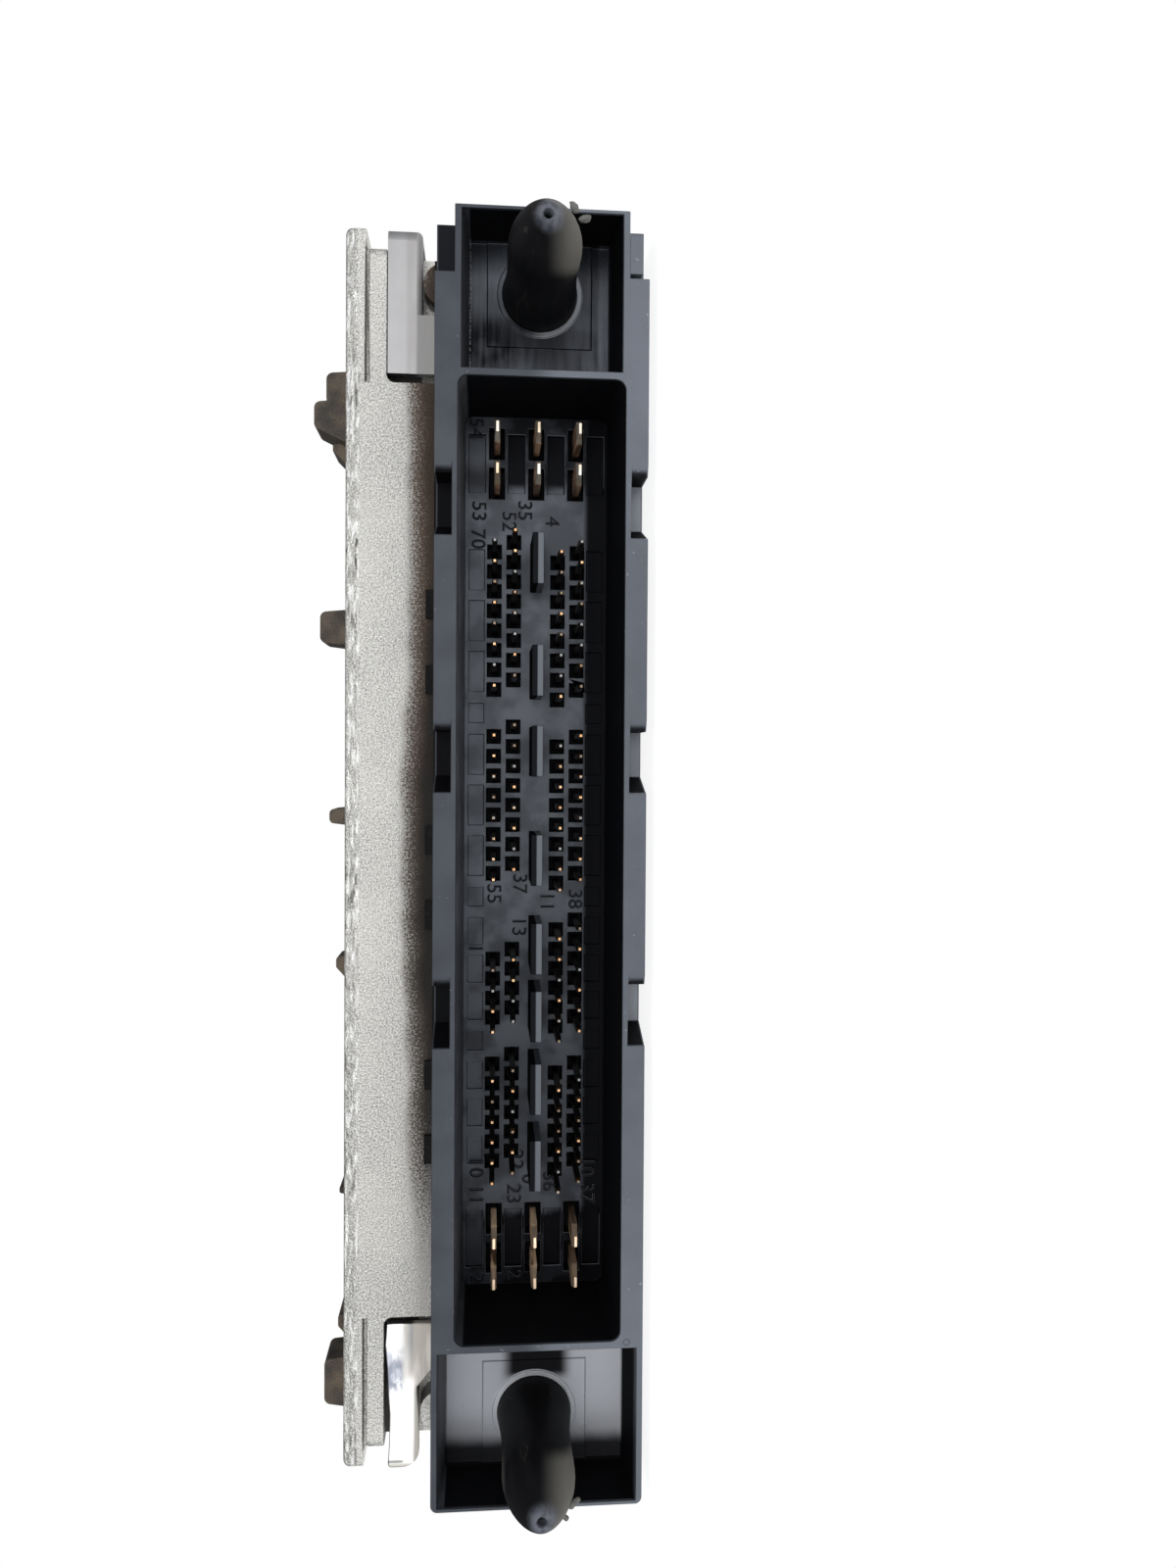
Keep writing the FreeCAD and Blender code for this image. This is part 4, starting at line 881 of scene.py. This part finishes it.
def burr(place, turn):
    """A torn flake of plastic: a small ball pulled out of round and made ragged."""
    bpy.ops.mesh.primitive_ico_sphere_add(subdivisions=3, radius=BURR_SIZE * MM, location=metres(*place))
    flake = bpy.context.active_object
    flake.scale = (0.7, 0.9, 1.6)
    flake.rotation_euler = (0.2, turn, 0.5)
    bpy.ops.object.transform_apply(location=False, rotation=True, scale=True)
    ragged = bpy.data.textures.new("ragged", "CLOUDS")
    ragged.noise_scale = BURR_SIZE * MM
    apply(flake, "DISPLACE", texture=ragged, texture_coords="GLOBAL", strength=BURR_TEAR * MM, mid_level=0.5)
    return flake


for side, x in POST_X.items():
    post = turned_post(x)
    join([post, *(burr(place, turn) for place, turn in zip(BURRS[side], BURR_TURNS))])
    smooth(post, 35)
    finish_piece(post, "turned_post_" + side, "post_plastic", "guide_post_" + side)

# %% [markdown]
# The bracket at the lower corner is strip that was bent and then levered out of line. A short plane
# starts at the upper end of its front face, and its edge is extruded section by section, so that the long
# edges come out wavy. Each section gives a place along the header, the height of its middle and its
# width.

# %% Levered bracket: the face
SECTIONS = ((-60.3, 30.18, 3.15), (-63.0, 30.22, 3.45), (-66.0, 30.0, 3.42), (-68.6, 29.75, 3.7),
            (-72.0, 29.5, 3.7), (-75.5, 29.5, 3.8), (-78.9, 29.6, 4.0))
STUB = 0.2


def pick(piece, chosen):
    """In edit mode, selects the points for which chosen holds, with their places in millimetres."""
    bpy.ops.mesh.select_mode(type="VERT")
    bpy.ops.mesh.select_all(action="DESELECT")
    bpy.ops.object.mode_set(mode="OBJECT")
    for vertex in piece.data.vertices:
        vertex.select = chosen(piece.matrix_world @ vertex.co / MM)
    bpy.ops.object.mode_set(mode="EDIT")


def bracket_face():
    start, middle, width = SECTIONS[0]
    deselect()
    bpy.ops.mesh.primitive_plane_add(size=1, location=metres(start - STUB / 2, FRONT, middle))
    face = bpy.context.active_object
    face.rotation_euler = (math.pi / 2, 0, 0)
    face.scale = (STUB * MM, width * MM, 1)
    bpy.ops.object.transform_apply(location=False, rotation=True, scale=True)
    bpy.ops.object.mode_set(mode="EDIT")
    pick(face, lambda place: place.x < start - STUB / 2)
    x = start - STUB
    for next_x, next_middle, next_width in SECTIONS[1:]:
        step = {"value": metres(next_x - x, 0, next_middle - middle)}
        bpy.ops.mesh.extrude_edges_move(TRANSFORM_OT_translate=step)
        centre = metres(next_x, FRONT, next_middle)
        bpy.ops.transform.resize(value=(1, 1, next_width / width), center_override=centre)
        x, middle, width = next_x, next_middle, next_width
    return face


# %% [markdown]
# The corner where the strip was bent back is rounded widely and the other one a little. A tab is pulled
# out of the long edge and in behind the header, and three of its corners are nudged to where they ended
# up. Solidify makes sheet of the face and Bevel rounds its edges. The leg behind it is a bar with rounded
# edges.

# %% Levered bracket: corners, tab and leg
END, END_MIDDLE = SECTIONS[-1][:2]
CORNERS = ((lambda place: place.x < END + 0.1 and place.z < END_MIDDLE, 2.1, 7),
           (lambda place: place.x < END + 0.1 and place.z > END_MIDDLE, 0.5, 3))
SHEET = 1.1
LEG = {"middle": (-78.3, FRONT + 13.6, 30.4), "size": (1.2, 26.4, 1.6)}
TAB_PULL = (0, 1.25, -3.1)
TAB_NUDGES = ((lambda place: place.x < -68 and place.z < 26, (0.6, -1.0, 2.5)),
              (lambda place: -67 < place.x < -65 and place.z < 26, (-0.5, 0, 0.5)),
              (lambda place: place.x > -61 and place.z < 26, (-0.7, 0, 0)))


def bracket_leg():
    bpy.ops.mesh.primitive_cube_add(size=1, location=metres(*LEG["middle"]))
    leg = bpy.context.active_object
    leg.scale = metres(*LEG["size"])
    bpy.ops.object.transform_apply(location=False, rotation=False, scale=True)
    apply(leg, "BEVEL", width=0.3 * MM, segments=3)
    return leg


bracket = bracket_face()
for chosen, offset, segments in CORNERS:
    pick(bracket, chosen)
    bpy.ops.mesh.bevel(offset=offset * MM, segments=segments, affect="VERTICES")
pick(bracket, lambda place: place.x > -69 and place.z < 29)
bpy.ops.mesh.extrude_edges_move(TRANSFORM_OT_translate={"value": metres(*TAB_PULL)})
for chosen, shift in TAB_NUDGES:
    pick(bracket, chosen)
    bpy.ops.transform.translate(value=metres(*shift))
outward()
bpy.ops.object.mode_set(mode="OBJECT")
inward = 1 if bracket.data.polygons[0].normal.y > 0 else -1
apply(bracket, "SOLIDIFY", thickness=SHEET * MM, offset=inward, use_even_offset=True)
apply(bracket, "BEVEL", width=0.42 * MM, segments=5, limit_method="ANGLE", angle_limit=math.radians(50))
deselect()
join([bracket, bracket_leg()])
smooth(bracket, 40)
apply(bracket, "WEIGHTED_NORMAL", keep_sharp=True)
finish_piece(bracket, "levered_bracket", "bright_aluminium", "retaining_bracket_lower")

# %% [markdown]
# The header's floor carries small moulded contact numbers. Text is set in Blender's own font, made a
# little thinner, given some depth, turned so that it reads down the photo, made a mesh and widened
# slightly. All of it is joined into one piece. Each entry is the number, its place along the header and
# its height.

# %% Moulded numbers
NUMBERS = (("53", 43.5, 20.5), ("70", 40.0, 20.6), ("52", 42.3, 16.7), ("35", 43.7, 14.7), ("4", 42.4, 11.2),
           ("54", 54.0, 20.9), ("55", -5.2, 18.4), ("37", -3.9, 15.1), ("11", -6.2, 11.6), ("38", -5.9, 8.0),
           ("13", -9.4, 15.2), ("1", -12.2, 20.7), ("10", -40.4, 20.5), ("11", -43.9, 20.5),
           ("22", -39.5, 15.4), ("23", -43.9, 15.7), ("0", -42.0, 13.8), ("36", -42.4, 11.1),
           ("10", -40.6, 6.2), ("37", -44.0, 6.2), ("12", -54.0, 20.4), ("2", -54.4, 15.5))
READ_DOWN = Matrix(((-1, 0, 0), (0, 0, -1), (0, -1, 0))).to_4x4()
FIGURE = {"size": 2.55, "extrude": 0.06, "bevel_depth": 0.06, "offset": -0.035}
LIFT = 0.08
WIDENING = 1.02


def moulded_number(text, x, z):
    bpy.ops.object.text_add()
    figure = bpy.context.active_object
    figure.data.body = text
    figure.data.align_x = "CENTER"
    figure.data.align_y = "CENTER"
    for setting, size in FIGURE.items():
        setattr(figure.data, setting, size * MM)
    figure.data.resolution_u = 3
    figure.matrix_world = Matrix.Translation(metres(x, FRONT - LIFT, z)) @ READ_DOWN
    only(figure)
    bpy.ops.object.convert(target="MESH")
    figure = bpy.context.active_object
    figure.data.transform(Matrix.Diagonal((WIDENING, 1, 1, 1)))
    return figure


figures = [moulded_number(*entry) for entry in NUMBERS]
join(figures)
finish_piece(figures[0], "moulded_numbers", "header_plastic")

# %% [markdown]
# The floor is pale and plain. A camera ray sees it mostly as white light, so the background is white like
# the page, and the rest of what it sees is lit surface, which keeps the unit's shadow. Glossy rays see it
# brighter still, so that bright metal has something to mirror.

# %% Floor
bpy.ops.mesh.primitive_plane_add(size=6.0, location=metres(0, 0, -0.1))
floor = bpy.context.active_object
floor.name = "floor"
paper = Finish("floor_paper", base_color=(0.82, 0.82, 0.82, 1), roughness=0.9)
path = paper.node("ShaderNodeLightPath", {}, {}, None)
camera_ray, glossy_ray = (Value(paper, path.outputs[ray]) for ray in ("Is Camera Ray", "Is Glossy Ray"))
glow = paper.node("ShaderNodeEmission", {}, {"Color": (1, 1, 1, 1), "Strength": 1.7 + glossy_ray * 2.0})
paper.cover_with((camera_ray + glossy_ray).least(1) * 0.5, glow)
floor.data.materials.append(paper.material)
floor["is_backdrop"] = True
print("floor", tuple(floor.dimensions))

# %% [markdown]
# The world is white to the camera. To the unit it is a room with one bright window behind the camera,
# whose edge the polished pocket floors mirror. The wide end of the unit looks into a dark corner of that
# room.

# %% World
world = bpy.data.worlds.new("room")
bpy.context.scene.world = world
world.use_nodes = True
room = Nodes(world.node_tree, "Generated")
facing = room.x * -0.13 - room.y * 0.99
window = facing.rise(0.79, 0.86)
corner = room.x.rise(-0.75, -0.15)
level = window * 2.3 + (0.25 + corner * 0.35) * (facing.rise(-0.7, 0.2) * 0.6 + 0.4)
tint = room.blend(window, (0.96, 0.98, 1.0), (1.0, 1.0, 1.0))
room_light = room.node("ShaderNodeBackground", {}, {"Color": tint, "Strength": level})
page = room.node("ShaderNodeBackground", {}, {"Color": (1, 1, 1, 1), "Strength": 1.0})
room.mix_to("World Output", room.node("ShaderNodeLightPath", {}, {}, "Is Camera Ray"), room_light, page)
print("world", len(room.tree.nodes), "nodes")


# %% [markdown]
# Two broad area lamps add shape: a key from above the camera and a weaker fill beside it. Both are discs
# aimed at the middle of the header. Sizes and places are in metres here, and powers in watts.


# %% Lamps
AIM = Vector((0, -0.07, 0.02))


def lamp(name, place, size, power):
    data = bpy.data.lights.new(name, "AREA")
    data.shape = "DISK"
    data.size = size
    data.energy = power
    made = bpy.data.objects.new(name, data)
    bpy.context.scene.collection.objects.link(made)
    aim = (AIM - Vector(place)).to_track_quat("-Z", "Y")
    made.matrix_world = Matrix.Translation(Vector(place)) @ aim.to_matrix().to_4x4()
    print(name, place, power, "W")


lamp("key", (0.05, -0.75, 0.65), 0.5, 0.8)
lamp("fill", (0.10, -0.70, 0.05), 0.3, 1.0)

# %% [markdown]
# The camera stands about 15 cm in front of the header's floor, a little towards its narrow end, with the
# long axis upright in the picture. The place and the three directions below, which are its right, up and
# forward axes, were fitted to the rows of contacts.

# %% Camera
PLACE = Vector((0.01152, -0.22072, 0.0192))
RIGHT = Vector((0.00597, -0.08489, -0.99637))
UP = Vector((0.99983, 0.01780, 0.00447))
FORWARD = Vector((-0.01736, 0.99623, -0.08498))
camera_data = bpy.data.cameras.new("camera")
camera_data.lens = 27.0
camera_data.sensor_width = 36.0
camera = bpy.data.objects.new("camera", camera_data)
bpy.context.scene.collection.objects.link(camera)
turn = Matrix((RIGHT, UP, -FORWARD)).transposed()
camera.matrix_world = Matrix.Translation(PLACE) @ turn.to_4x4()
bpy.context.scene.camera = camera
bpy.context.scene.view_settings.view_transform = "Standard"
print("camera", tuple(camera.location))
